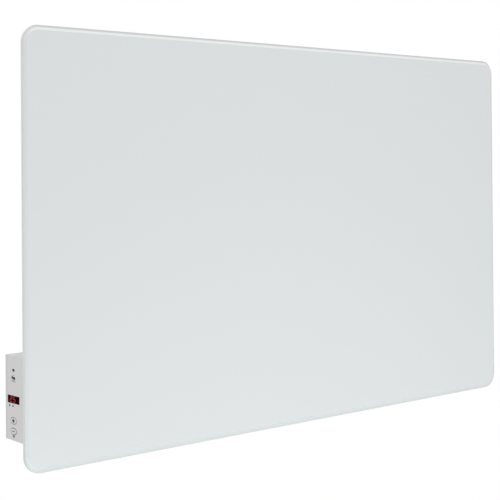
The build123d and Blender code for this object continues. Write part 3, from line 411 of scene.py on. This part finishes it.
def face_slab(outline, centre_y, centre_z, front_x, back_x):
    """Points and faces of a slab that stands on the control face. The outline's first axis runs
    from the wall to the glass, as a reader of the face sees left and right."""
    count = len(outline)
    points = [(x, centre_y - u, centre_z + v) for x in (front_x, back_x) for u, v in outline]
    faces = [(tuple(range(count)), 0), (tuple(reversed(range(count, 2 * count))), 0)]
    return points, faces + strip(0, count, count)


def face_ring(inner, outer, centre_y, centre_z, front_x, back_x):
    """Points and faces of a flat ring that stands on the control face."""
    count = len(inner)
    loops = [(front_x, inner), (front_x, outer), (back_x, outer), (back_x, inner)]
    points = [(x, centre_y - u, centre_z + v) for x, outline in loops for u, v in outline]
    faces = []
    for loop in range(len(loops)):
        faces += strip(loop * count, (loop + 1) % len(loops) * count, count)
    return points, faces


def join_parts(parts):
    """Several lists of points and faces as one."""
    points, faces = [], []
    for part_points, part_faces in parts:
        offset = len(points)
        points += part_points
        faces += [(tuple(offset + i for i in face), index) for face, index in part_faces]
    return points, faces


def dress(names, material):
    """Gives CAD nodes a material."""
    for name in names:
        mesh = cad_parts[name].data
        mesh.materials.clear()
        mesh.materials.append(material)


# ---------------------------------------------------------------- finishes used by more than one piece
def plastic(name, tone):
    """Matte moulded plastic."""
    return finish(
        name, "Moulded Grain", tone, drift=0.03, rough=0.52, rough_drift=0.12, scale=1500.0, relief=0.00003,
    )


def gloss_plastic(name, tone):
    """Smooth glossy plastic."""
    return finish(name, "Moulded Grain", tone, drift=0.05, rough=0.14, rough_drift=0.05, scale=300.0)


def printed_ink(name, tone):
    """Ink of a printed or filled mark."""
    return finish(name, "Moulded Grain", tone, drift=0.1, rough=0.45, scale=900.0)


def plated(name, tone, rough=0.34):
    """Plated or bare metal."""
    return finish(
        name, "Rolled Metal", tone, drift=0.16, rough=rough, rough_drift=0.16, scale=900.0, relief=0.000008,
        shader={"Metallic": 1.0},
    )


# ---------------------------------------------------------------- the stage
class HEATER_OT_stage(bpy.types.Operator):
    """Make the pale floor, the soft studio light and the camera"""

    bl_idname = "heater.stage"
    bl_label = "Stage"

    def execute(self, context):
        settings = context.scene.heater_stage
        self.make_floor(settings)
        self.make_world(context.scene, settings)
        self.make_lamp("softbox_key", settings.key_place, settings.key_size, settings.key_light, WHITE)
        self.make_lamp(
            "softbox_fill", settings.fill_place, settings.fill_size, settings.fill_light, settings.fill_tint
        )
        self.make_lamp("softbox_top", settings.top_place, settings.top_size, settings.top_light, WHITE)
        self.make_lamp("softbox_side", settings.side_place, settings.side_size, settings.side_light, WHITE)
        self.make_camera(context.scene, settings)
        context.scene.view_settings.view_transform = "Standard"
        return {"FINISHED"}

    def make_floor(self, settings):
        """A wide floor that looks white and keeps the heater's soft shadow."""
        reach = settings.floor_reach
        mesh = bpy.data.meshes.new("floor")
        corners = [(-reach, -reach), (reach, -reach), (reach, reach), (-reach, reach)]
        mesh.from_pydata([(x, y, -settings.floor_drop) for x, y in corners], [], [(0, 1, 2, 3)])
        floor = bpy.data.objects.new("floor", mesh)
        bpy.context.scene.collection.objects.link(floor)
        material = bpy.data.materials.new("Pale Floor")
        material.use_nodes = True
        tree = material.node_tree
        tree.nodes.clear()
        paint = put(tree, "ShaderNodeBsdfDiffuse", {"Color": (*settings.floor, 1.0)})
        white = put(tree, "ShaderNodeEmission", {"Color": (*WHITE, 1.0), "Strength": 1.0})
        place = tree.nodes.new("ShaderNodeTexCoord").outputs["Object"]
        flat = put(tree, "ShaderNodeVectorMath", {0: place, 1: (1.0, 1.0, 0.0)}, operation="MULTIPLY")
        away = put(tree, "ShaderNodeVectorMath", {0: flat.outputs[0]}, operation="LENGTH")
        whiteness = put(
            tree, "ShaderNodeMapRange",
            {
                "Value": away.outputs["Value"],
                "From Min": settings.fade_start,
                "From Max": settings.fade_end,
                "To Min": settings.floor_white,
            },
            interpolation_type="SMOOTHSTEP",
        )
        seen = put(
            tree, "ShaderNodeMath", {0: self.seen_rays(tree), 1: whiteness.outputs[0]}, operation="MULTIPLY"
        )
        mix = put(tree, "ShaderNodeMixShader", {0: seen.outputs[0], 1: paint.outputs[0], 2: white.outputs[0]})
        result = tree.nodes.new("ShaderNodeOutputMaterial")
        tree.links.new(mix.outputs[0], result.inputs["Surface"])
        mesh.materials.append(material)

    def seen_rays(self, tree):
        """1 for what the camera, a reflection or a refraction sees, and 0 for light on the object."""
        path = tree.nodes.new("ShaderNodeLightPath")
        either = put(
            tree, "ShaderNodeMath",
            {0: path.outputs["Is Camera Ray"], 1: path.outputs["Is Glossy Ray"]}, operation="MAXIMUM",
        )
        return put(
            tree, "ShaderNodeMath",
            {0: either.outputs[0], 1: path.outputs["Is Transmission Ray"]}, operation="MAXIMUM",
        ).outputs[0]

    def make_world(self, scene, settings):
        """An even pale surround that lights softly and is white where it is seen."""
        world = bpy.data.worlds.new("Studio")
        world.use_nodes = True
        tree = world.node_tree
        tree.nodes.clear()
        soft = put(tree, "ShaderNodeBackground", {"Color": (*WHITE, 1.0), "Strength": settings.ambient})
        white = put(tree, "ShaderNodeBackground", {"Color": (*WHITE, 1.0), "Strength": 1.0})
        mix = put(
            tree, "ShaderNodeMixShader", {0: self.seen_rays(tree), 1: soft.outputs[0], 2: white.outputs[0]}
        )
        result = tree.nodes.new("ShaderNodeOutputWorld")
        tree.links.new(mix.outputs[0], result.inputs["Surface"])
        scene.world = world

    def make_lamp(self, name, place, size, power, tint):
        """A square softbox that points at the heater."""
        lamp = bpy.data.lights.new(name, "AREA")
        lamp.shape = "SQUARE"
        lamp.size = size
        lamp.energy = power
        lamp.color = tint
        box = bpy.data.objects.new(name, lamp)
        box.location = place
        box.rotation_euler = (-Vector(place)).to_track_quat("-Z", "Y").to_euler()
        bpy.context.scene.collection.objects.link(box)

    def make_camera(self, scene, settings):
        """The camera at the photograph's viewing angle."""
        lens = bpy.data.cameras.new("camera")
        lens.sensor_width = 36.0
        lens.sensor_fit = "HORIZONTAL"
        lens.lens = settings.camera_lens
        lens.shift_y = settings.camera_shift
        turned = (
            Matrix.Rotation(-settings.camera_turn, 4, "Z")
            @ Matrix.Rotation(math.radians(90) + settings.camera_tilt, 4, "X")
            @ Matrix.Rotation(settings.camera_roll, 4, "Z")
        )
        camera = bpy.data.objects.new("camera", lens)
        camera.matrix_world = Matrix.Translation(settings.camera_place) @ turned
        scene.collection.objects.link(camera)
        scene.camera = camera


# ---------------------------------------------------------------- the glass
class HEATER_OT_pane(bpy.types.Operator):
    """Make the enamelled glass with its polished edges"""

    bl_idname = "heater.pane"
    bl_label = "Glass pane"

    # the order of the pane's materials
    FRONT, BEVEL, RIM, SIDE, BACK = range(5)

    def execute(self, context):
        settings = context.scene.heater_pane
        width = PANE_HIGH.x - PANE_LOW.x
        height = PANE_HIGH.z - PANE_LOW.z
        corner_steps = 20
        rows = self.profile(settings)
        points = []
        for inset, depth, _ in rows:
            corner = settings.corner_radius - inset
            ring = rounded_rectangle(width - 2 * inset, height - 2 * inset, corner, corner_steps)
            points += [(u, depth, v) for u, v in ring]
        count = len(points) // len(rows)
        last = len(points) - count
        faces = [(tuple(range(count)), self.FRONT)]
        for row, (_, _, material) in enumerate(rows[1:]):
            faces += strip(row * count, (row + 1) * count, count, material)
        faces.append((tuple(reversed(range(last, len(points)))), self.BACK))
        pane = make_piece(
            "glass_pane", points, faces, "heater", "glass", self.materials(settings), smooth_angle=12.0
        )
        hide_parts("glass_panel")
        return {"FINISHED"}

    def profile(self, settings):
        """From the flat front round to the back: each ring's inset from the edge, its y, and the
        material of the strip that leads to it."""
        front, back = PANE_LOW.y, PANE_HIGH.y
        rim_width, rim_depth = settings.rim_width, settings.rim_depth
        bevel_foot = front + settings.bevel_depth
        rows = [(rim_width + settings.bevel_width, front, self.FRONT), (rim_width, bevel_foot, self.BEVEL)]
        rim_steps = 12
        for step in range(1, rim_steps + 1):
            bend = math.radians(90 * step / rim_steps)
            inset = rim_width * (1 - math.sin(bend))
            rows.append((inset, bevel_foot + rim_depth * (1 - math.cos(bend)), self.RIM))
        rows.append((0.0, back - settings.rear_arris, self.SIDE))
        rows.append((settings.rear_arris, back, self.SIDE))
        return rows

    def materials(self, settings):
        """Front, bevel, clear rim, side and back."""
        front = finish(
            "Enamelled Glass", "Float Glass", settings.enamel, drift=0.02, rough=0.30, rough_drift=0.02,
            scale=9.0, relief=0.00002, shader={"Coat Weight": 1.0, "Coat Roughness": 0.02, "IOR": 1.5},
        )
        bevel = finish(
            "Enamelled Bevel Painted Light", "Float Glass", settings.enamel, drift=0.02, rough=0.30, rough_drift=0.02,
            scale=40.0, shader={"Coat Weight": 0.4, "Coat Roughness": 0.3, "Specular IOR Level": 0.25},
        )
        # painted light: the bevel's tone turns lighter where it faces up
        self.paint_shading_by_facing(bevel, settings.enamel, settings.bevel_top_painted_light, (0.0, 0.0, 1.0))
        rim = finish(
            "Clear Rim Painted Shade", "Float Glass", settings.rim, drift=0.03, rough=0.35, rough_drift=0.02,
            scale=40.0, shader={"Coat Weight": 0.3, "Coat Roughness": 0.35, "Specular IOR Level": 0.25},
        )
        # painted shade: the rim's tone turns darker where it faces up or right
        self.paint_shading_by_facing(rim, settings.rim, settings.rim_painted_shade, (1.0, 0.0, 1.0))
        side = finish(
            "Ground Side", "Moulded Grain", settings.side, drift=0.04, rough=0.24, rough_drift=0.08,
            scale=700.0, relief=0.00001, shader={"Coat Weight": 0.5, "Coat Roughness": 0.08},
        )
        back = finish(
            "Enamel Back", "Moulded Grain", settings.back, drift=0.05, rough=0.55, rough_drift=0.15,
            scale=500.0, relief=0.00002,
        )
        return [front, bevel, rim, side, back]

    def paint_shading_by_facing(self, material, plain_tone, painted_shading_tone, direction):
        """Paints light and shade into a material's colour: blends its tone into a lighter or darker one where
        the surface turns towards a direction.
        """
        tree = material.node_tree
        pattern = next(node for node in tree.nodes if node.type == "GROUP")
        normal = tree.nodes.new("ShaderNodeTexCoord").outputs["Normal"]
        facing = put(
            tree, "ShaderNodeVectorMath", {0: normal, 1: direction}, operation="DOT_PRODUCT"
        ).outputs["Value"]
        share = put(
            tree, "ShaderNodeMapRange", {"Value": facing, "From Min": 0.1, "From Max": 0.28},
            interpolation_type="SMOOTHSTEP",
        ).outputs["Result"]
        mix = put(tree, "ShaderNodeMix", {"Factor": share}, data_type="RGBA")
        # turned is the painted lighter or darker tone
        plain, turned = [socket for socket in mix.inputs if socket.type == "RGBA"]
        plain.default_value = (*plain_tone, 1.0)
        turned.default_value = (*painted_shading_tone, 1.0)
        blended = next(socket for socket in mix.outputs if socket.type == "RGBA")
        tree.links.new(blended, pattern.inputs["Tone"])


# ---------------------------------------------------------------- laminate and casing
class HEATER_OT_laminate(bpy.types.Operator):
    """Finish the heating laminate and the insulation behind it"""

    bl_idname = "heater.laminate"
    bl_label = "Heating laminate"

    def execute(self, context):
        inside, metals = context.scene.heater_inside, context.scene.heater_metals
        film = finish(
            "Amber Film", "Moulded Grain", inside.film, drift=0.08, rough=0.28, rough_drift=0.1, scale=120.0,
        )
        dress(["base_film", "cover_film"], film)
        dress(["heating_track", "reflector_foil"], plated("Bright Foil", metals.foil, rough=0.26))
        wool = finish(
            "Mineral Board", "Fibre Mat", inside.wool, drift=0.3, rough=0.9, rough_drift=0.1, scale=260.0,
            relief=0.0004,
        )
        dress(["insulation_board"], wool)
        sealant = finish(
            "Silicone Sealant", "Fibre Mat", inside.sealant, drift=0.05, rough=0.5, rough_drift=0.1,
            scale=60.0, relief=0.0001,
        )
        dress(["bonding_bead"], sealant)
        return {"FINISHED"}


class HEATER_OT_casing(bpy.types.Operator):
    """Finish the rear casing"""

    bl_idname = "heater.casing"
    bl_label = "Rear casing"

    def execute(self, context):
        metals = context.scene.heater_metals
        coat = finish(
            "Powder Coat", "Orange Peel", metals.casing, drift=0.03, rough=0.38, rough_drift=0.12,
            scale=650.0, relief=0.00003,
        )
        dress(["rear_casing"], coat)
        return {"FINISHED"}


class HEATER_OT_wall_fittings(bpy.types.Operator):
    """Finish the wall rails, the hooks and the rivets"""

    bl_idname = "heater.wall_fittings"
    bl_label = "Wall fittings"

    def execute(self, context):
        metals = context.scene.heater_metals
        sheet = plated("Zinc Plate", metals.zinc)
        for level in ("upper", "lower"):
            hooks = ["hanging_hook_" + level + "_" + side for side in ("left", "right")]
            dress(["wall_rail_" + level] + hooks, sheet)
        dress(["hook_rivets"], plated("Rivet Metal", metals.rivet, rough=0.3))
        return {"FINISHED"}


# ---------------------------------------------------------------- the control box
class HEATER_OT_control_box(bpy.types.Operator):
    """Finish the control box, its cover and its screws"""

    bl_idname = "heater.control_box"
    bl_label = "Control box"

    def execute(self, context):
        controls, metals = context.scene.heater_controls, context.scene.heater_metals
        dress(["control_housing"], plastic("Housing Plastic", controls.housing))
        dress(["control_rear_cover"], plastic("Cover Plastic", controls.cover))
        dress(["cover_screws", "housing_screws", "housing_nuts"], plated("Plated Screw", metals.screw))
        return {"FINISHED"}


class HEATER_OT_display(bpy.types.Operator):
    """Make the dark red display window with its lit digits"""

    bl_idname = "heater.display"
    bl_label = "Display"

    # radii of the corners of the window, of its front inside the chamfer and of the carrier's flange
    CORNER, FRONT_CORNER, FLANGE_CORNER = 0.5 * MM, 0.4 * MM, 0.8 * MM
    CHAMFER = 0.15 * MM
    FLANGE = 1.0 * MM
    # gaps behind the window, and between the ends of a digit's bars
    WINDOW_TO_BARS, WINDOW_TO_CARRIER = 0.02 * MM, 0.1 * MM
    BAR_JOINT = 0.25 * MM
    # the bars a to g of a digit that are lit for 0 to 9
    LIT_BARS = ("abcdef", "bc", "abged", "abgcd", "fgbc", "afgcd", "afgedc", "abc", "abcdefg", "abfgcd")

    def execute(self, context):
        settings = context.scene.heater_controls
        middle = middle_of(LENS_LOW, LENS_HIGH)
        outline, inner, flange = [
            rounded_rectangle(
                LENS_HIGH.y - LENS_LOW.y - 2 * inset, LENS_HIGH.z - LENS_LOW.z - 2 * inset, corner,
                SMALL_CORNER_STEPS,
            )
            for inset, corner in (
                (settings.window_border, self.CORNER),
                (settings.window_border + self.CHAMFER, self.FRONT_CORNER),
                (0.0, self.FLANGE_CORNER),
            )
        ]
        window_back = FACE_X + settings.window_pane
        self.make_window(settings, inner, outline, middle, window_back)
        self.make_carrier(settings, outline, flange, middle, window_back + self.WINDOW_TO_CARRIER)
        dress(["display_module"], self.dull_plastic("Module Plastic", settings.unlit))
        self.make_digits(settings, middle, window_back)
        return {"FINISHED"}

    def make_window(self, settings, inner, outline, middle, window_back):
        """The dark red window, with a small chamfer around its front."""
        material = self.window_material(settings)
        loops = ((FACE_X, inner), (FACE_X + self.CHAMFER, outline), (window_back, outline))
        points = [(x, middle[0] - u, middle[1] + v) for x, loop in loops for u, v in loop]
        count = len(outline)
        faces = [(tuple(range(count)), 0), (tuple(reversed(range(2 * count, 3 * count))), 0)]
        faces += strip(0, count, count) + strip(count, 2 * count, count)
        window = make_piece("display_window", points, faces, "heater", "lens", [material])
        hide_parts("display_lens")

    def make_carrier(self, settings, outline, flange, middle, front_x):
        """The dark block that carries the digits, with a flange behind the housing's face."""
        flange_x = LENS_HIGH.x - self.FLANGE
        block = face_slab(outline, *middle, front_x, flange_x)
        foot = face_slab(flange, *middle, flange_x, LENS_HIGH.x)
        material = self.dull_plastic("Digit Carrier", settings.glass)
        carrier = make_piece("digit_carrier", *join_parts([block, foot]), "heater", "module", [material])
        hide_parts("display_lens")

    def dull_plastic(self, name, tone):
        """Plastic behind the window, which hardly reflects."""
        return finish(
            name, "Moulded Grain", tone, drift=0.1, rough=0.6, rough_drift=0.1, scale=600.0,
            shader={"Specular IOR Level": 0.01},
        )

    def window_material(self, settings):
        """Dark red gloss plastic that lets the digits through."""
        material = finish(
            "Display Window", "Moulded Grain", settings.glass, drift=0.05, rough=0.12, rough_drift=0.04,
            scale=300.0, shader={"Alpha": 0.42, "Specular IOR Level": 0.012},
        )
        material.surface_render_method = "BLENDED"
        return material

    def make_digits(self, settings, middle, window_back):
        """Two lit digits, and a third place whose bars are off."""
        lit = self.glow_material("Lit Segment", settings.lit, settings.glow)
        unlit = self.dull_plastic("Unlit Segment", settings.unlit)
        digit_width, digit_height = settings.digit_width, settings.digit_height
        front_x, back_x = window_back + self.WINDOW_TO_BARS, window_back + self.WINDOW_TO_CARRIER
        lit_parts, unlit_parts = [], []
        shown = [int(figure) for figure in "%02d" % settings.reading] + [None]
        for place, figure in enumerate(shown):
            digit_y = middle[0] - (place - 1) * settings.digit_pitch
            for name, (u, v, along_z) in self.bars(digit_width, digit_height).items():
                span = (digit_height / 2 if along_z else digit_width) - self.BAR_JOINT
                outline = self.bar_outline(span, settings.digit_stroke, along_z)
                slab = face_slab(outline, digit_y - u, middle[1] + v, front_x, back_x)
                is_lit = figure is not None and name in self.LIT_BARS[figure]
                (lit_parts if is_lit else unlit_parts).append(slab)
        make_piece("digits_lit", *join_parts(lit_parts), "heater", "module", [lit])
        make_piece("digits_unlit", *join_parts(unlit_parts), "heater", "module", [unlit])

    def bars(self, width, height):
        """The middle of each bar of a digit, and whether it stands upright."""
        side, half = width / 2, height / 2
        return {
            "a": (0.0, half, False),
            "b": (side, half / 2, True),
            "c": (side, -half / 2, True),
            "d": (0.0, -half, False),
            "e": (-side, -half / 2, True),
            "f": (-side, half / 2, True),
            "g": (0.0, 0.0, False),
        }

    def bar_outline(self, span, width, along_z):
        """A bar with mitred ends."""
        half, tip = width / 2, span / 2
        side = [(tip, 0.0), (tip - half, half), (half - tip, half)]
        shape = side + [(-u, -v) for u, v in side]
        return [(-v, u) for u, v in shape] if along_z else shape

    def glow_material(self, name, tone, strength):
        """Segments that shine in their own tone."""
        material = self.dull_plastic(name, tone)
        tree = material.node_tree
        surface = tree.nodes["Principled BSDF"]
        pattern = next(node for node in tree.nodes if node.type == "GROUP")
        tree.links.new(pattern.outputs["Color"], surface.inputs["Emission Color"])
        surface.inputs["Emission Strength"].default_value = strength
        return material


class HEATER_OT_keys(bpy.types.Operator):
    """Finish the two press keys and fill their engraved marks"""

    bl_idname = "heater.keys"
    bl_label = "Press keys"

    def execute(self, context):
        settings = context.scene.heater_controls
        inside = context.scene.heater_inside
        dress(["plus_key", "minus_key"], plastic("Key Plastic", settings.key))
        black = plastic("Black Plastic", inside.black)
        dress(["plus_plunger", "minus_plunger", "key_switches"], black)
        bar_size = settings.plus_bar_width, settings.plus_bar_height
        post_size = settings.plus_post_width, settings.plus_post_height
        marks = {
            "plus": (cross(*bar_size, *post_size), printed_ink("Dark Ink", settings.ink)),
            "minus": (
                bar(settings.minus_length, settings.minus_width), printed_ink("Pale Ink", settings.pale_ink)
            ),
        }
        sunk = 0.02 * MM
        for name, (outline, ink) in marks.items():
            low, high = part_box(name + "_key")
            middle = middle_of(low, high)
            slab = face_slab(outline, *middle, low.x + sunk, low.x + settings.mark_depth)
            make_piece(name + "_mark", *slab, name + "_button", "key", [ink])
        self.print_rings(settings)
        return {"FINISHED"}

    def print_rings(self, settings):
        """A grey oval ring on the housing around each key."""
        ink = printed_ink("Ring Ink", settings.ring_ink)
        rings = []
        for name in ("plus_key", "minus_key"):
            low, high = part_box(name)
            middle = middle_of(low, high)
            # the key's flange, which stays behind the face, is the widest part of its box
            half_width = (high.y - low.y) / 2 - settings.key_flange
            half_height = (high.z - low.z) / 2 - settings.key_flange
            inner, outer = [
                ellipse(half_width + reach, half_height + reach)
                for reach in (settings.ring_gap, settings.ring_gap + settings.ring_width)
            ]
            rings.append(face_ring(inner, outer, *middle, FACE_X - settings.ink_height, FACE_X))
        make_piece("key_rings", *join_parts(rings), "heater", "housing", [ink])


class HEATER_OT_face_marks(bpy.types.Operator):
    """Finish the round windows and lamps, and print the pictogram"""

    bl_idname = "heater.face_marks"
    bl_label = "Face marks"

    # the pictogram: the sizes of its marks, and how far they lie from its middle
    PANEL_SIZE = 9.6 * MM, 3.2 * MM
    PANEL_CORNER = 0.9 * MM
    PANEL_LEAN = math.radians(-9)
    PANEL_RISE = 0.9 * MM
    LINE_SIZE = 4.6 * MM, 0.6 * MM
    LINE_TO_WALL, LINE_RISE = 0.6 * MM, 4.4 * MM
    WISP_WIDTH, WISP_HEIGHT = 1.1 * MM, 4.0 * MM
    WISP_SWAY, WISP_PITCH, WISP_DROP = 0.5 * MM, 3.4 * MM, 2.8 * MM

    def execute(self, context):
        settings = context.scene.heater_controls
        dress(["sensor_window"], gloss_plastic("Sensor Window", settings.sensor))
        dress(["room_sensor"], gloss_plastic("Sensor Bead", settings.sensor))
        dress(["status_lamps"], gloss_plastic("Lamp Plastic", settings.lamp))
        dress(["standby_lamp"], gloss_plastic("Standby Plastic", settings.standby))
        self.make_pictogram(settings)
        return {"FINISHED"}

    def make_pictogram(self, settings):
        """A leaning panel between a short line and three wisps of warmth."""
        low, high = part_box("sensor_window")
        middle_y, window_z = middle_of(low, high)
        middle_z = window_z - settings.pictogram_drop
        front, back = FACE_X - settings.ink_height, FACE_X
        dark = printed_ink("Dark Ink", settings.ink)
        pale = printed_ink("Pale Ink", settings.pale_ink)
        lean = Matrix.Rotation(self.PANEL_LEAN, 2)
        level = rounded_rectangle(*self.PANEL_SIZE, self.PANEL_CORNER, SMALL_CORNER_STEPS)
        outline = [lean @ Vector(corner) for corner in level]
        panel = face_slab(outline, middle_y, middle_z + self.PANEL_RISE, front, back)
        make_piece("pictogram_panel", *panel, "heater", "housing", [dark])
        line_y, line_z = middle_y + self.LINE_TO_WALL, middle_z + self.LINE_RISE
        lines = [face_slab(bar(*self.LINE_SIZE), line_y, line_z, front, back)]
        for column in (-1, 0, 1):
            wisp_y, wisp_z = middle_y - self.WISP_PITCH * column, middle_z - self.WISP_DROP
            lines.append(face_slab(self.wisp(), wisp_y, wisp_z, front, back))
        make_piece("pictogram_lines", *join_parts(lines), "heater", "housing", [pale])

    def wisp(self):
        """The outline of one wavy upright line."""
        steps = 12
        left, right = [], []
        for step in range(steps + 1):
            v = self.WISP_HEIGHT * (step / steps - 0.5)
            sway = self.WISP_SWAY * math.sin(2 * math.pi * step / steps)
            left.append((sway - self.WISP_WIDTH / 2, v))
            right.append((sway + self.WISP_WIDTH / 2, v))
        return right + left[::-1]


# ---------------------------------------------------------------- inside parts and the gland
class HEATER_OT_board(bpy.types.Operator):
    """Finish the control board and what stands on it"""

    bl_idname = "heater.board"
    bl_label = "Control board"

    def execute(self, context):
        inside, metals = context.scene.heater_inside, context.scene.heater_metals
        board = finish(
            "Circuit Board", "Rolled Metal", inside.board, drift=0.4, rough=0.35, rough_drift=0.1,
            scale=300.0,
        )
        dress(["control_board"], board)
        dress(["board_screws"], plated("Plated Screw", metals.screw))
        dress(["supply_module", "power_relay"], plastic("Component Plastic", inside.component))
        dress(["lead_terminal", "mains_terminal"], plastic("Terminal Plastic", inside.terminal))
        return {"FINISHED"}


class HEATER_OT_wiring(bpy.types.Operator):
    """Finish the leads, the terminal, the cut-outs and the earth stud"""

    bl_idname = "heater.wiring"
    bl_label = "Wiring"

    def execute(self, context):
        inside, metals = context.scene.heater_inside, context.scene.heater_metals
        for name, tone, nodes in (
            ("Lead Silicone", inside.lead, ["supply_leads", "element_leads"]),
            ("Earth Silicone", inside.earth, ["earth_lead"]),
        ):
            dress(nodes, finish(name, "Moulded Grain", tone, drift=0.08, rough=0.42, scale=600.0))
        dress(["wire_bush"], plastic("Black Rubber", inside.black))
        dress(["overheat_cutouts"], gloss_plastic("Cut-out Bakelite", inside.black))
        porcelain = finish("Porcelain", "Fibre Mat", inside.porcelain, drift=0.05, rough=0.35, scale=200.0)
        dress(["ceramic_terminal"], porcelain)
        dress(["ceramic_screw"], plated("Plated Screw", metals.screw))
        dress(["earth_stud", "earth_nut"], plated("Brass", metals.brass, rough=0.28))
        return {"FINISHED"}


class HEATER_OT_gland(bpy.types.Operator):
    """Finish the cable gland"""

    bl_idname = "heater.gland"
    bl_label = "Cable gland"

    def execute(self, context):
        inside = context.scene.heater_inside
        dress(["gland_body", "gland_nut", "gland_locknut"], plastic("Gland Nylon", inside.gland))
        dress(["gland_seal"], plastic("Seal Rubber", inside.black))
        return {"FINISHED"}


# ---------------------------------------------------------------- sidebar
OPERATORS = (
    HEATER_OT_stage,
    HEATER_OT_pane,
    HEATER_OT_laminate,
    HEATER_OT_casing,
    HEATER_OT_wall_fittings,
    HEATER_OT_control_box,
    HEATER_OT_display,
    HEATER_OT_keys,
    HEATER_OT_face_marks,
    HEATER_OT_board,
    HEATER_OT_wiring,
    HEATER_OT_gland,
)
SETTINGS = {
    "heater_pane": HeaterPaneSettings,
    "heater_controls": HeaterControlSettings,
    "heater_metals": HeaterMetalSettings,
    "heater_inside": HeaterInsideSettings,
    "heater_stage": HeaterStageSettings,
}


class HEATER_PT_sidebar(bpy.types.Panel):
    """Settings of the panel heater and the steps that build it"""

    bl_idname = "HEATER_PT_sidebar"
    bl_label = "Panel Heater"
    bl_space_type = "VIEW_3D"
    bl_region_type = "UI"
    bl_category = "Panel Heater"

    def draw(self, context):
        for name in SETTINGS:
            box = self.layout.box()
            group = getattr(context.scene, name)
            for key in group.__annotations__:
                box.prop(group, key)
        for operator in OPERATORS:
            self.layout.operator(operator.bl_idname)


def register():
    for name, group in SETTINGS.items():
        bpy.utils.register_class(group)
        setattr(bpy.types.Scene, name, PointerProperty(type=group))
    for operator in OPERATORS:
        bpy.utils.register_class(operator)
    bpy.utils.register_class(HEATER_PT_sidebar)


def unregister():
    bpy.utils.unregister_class(HEATER_PT_sidebar)
    for operator in reversed(OPERATORS):
        bpy.utils.unregister_class(operator)
    for name, group in SETTINGS.items():
        delattr(bpy.types.Scene, name)
        bpy.utils.unregister_class(group)


def main():
    """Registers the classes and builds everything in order."""
    register()
    for operator in OPERATORS:
        group, _, name = operator.bl_idname.partition(".")
        getattr(getattr(bpy.ops, group), name)()


if __name__ == "__main__":
    main()
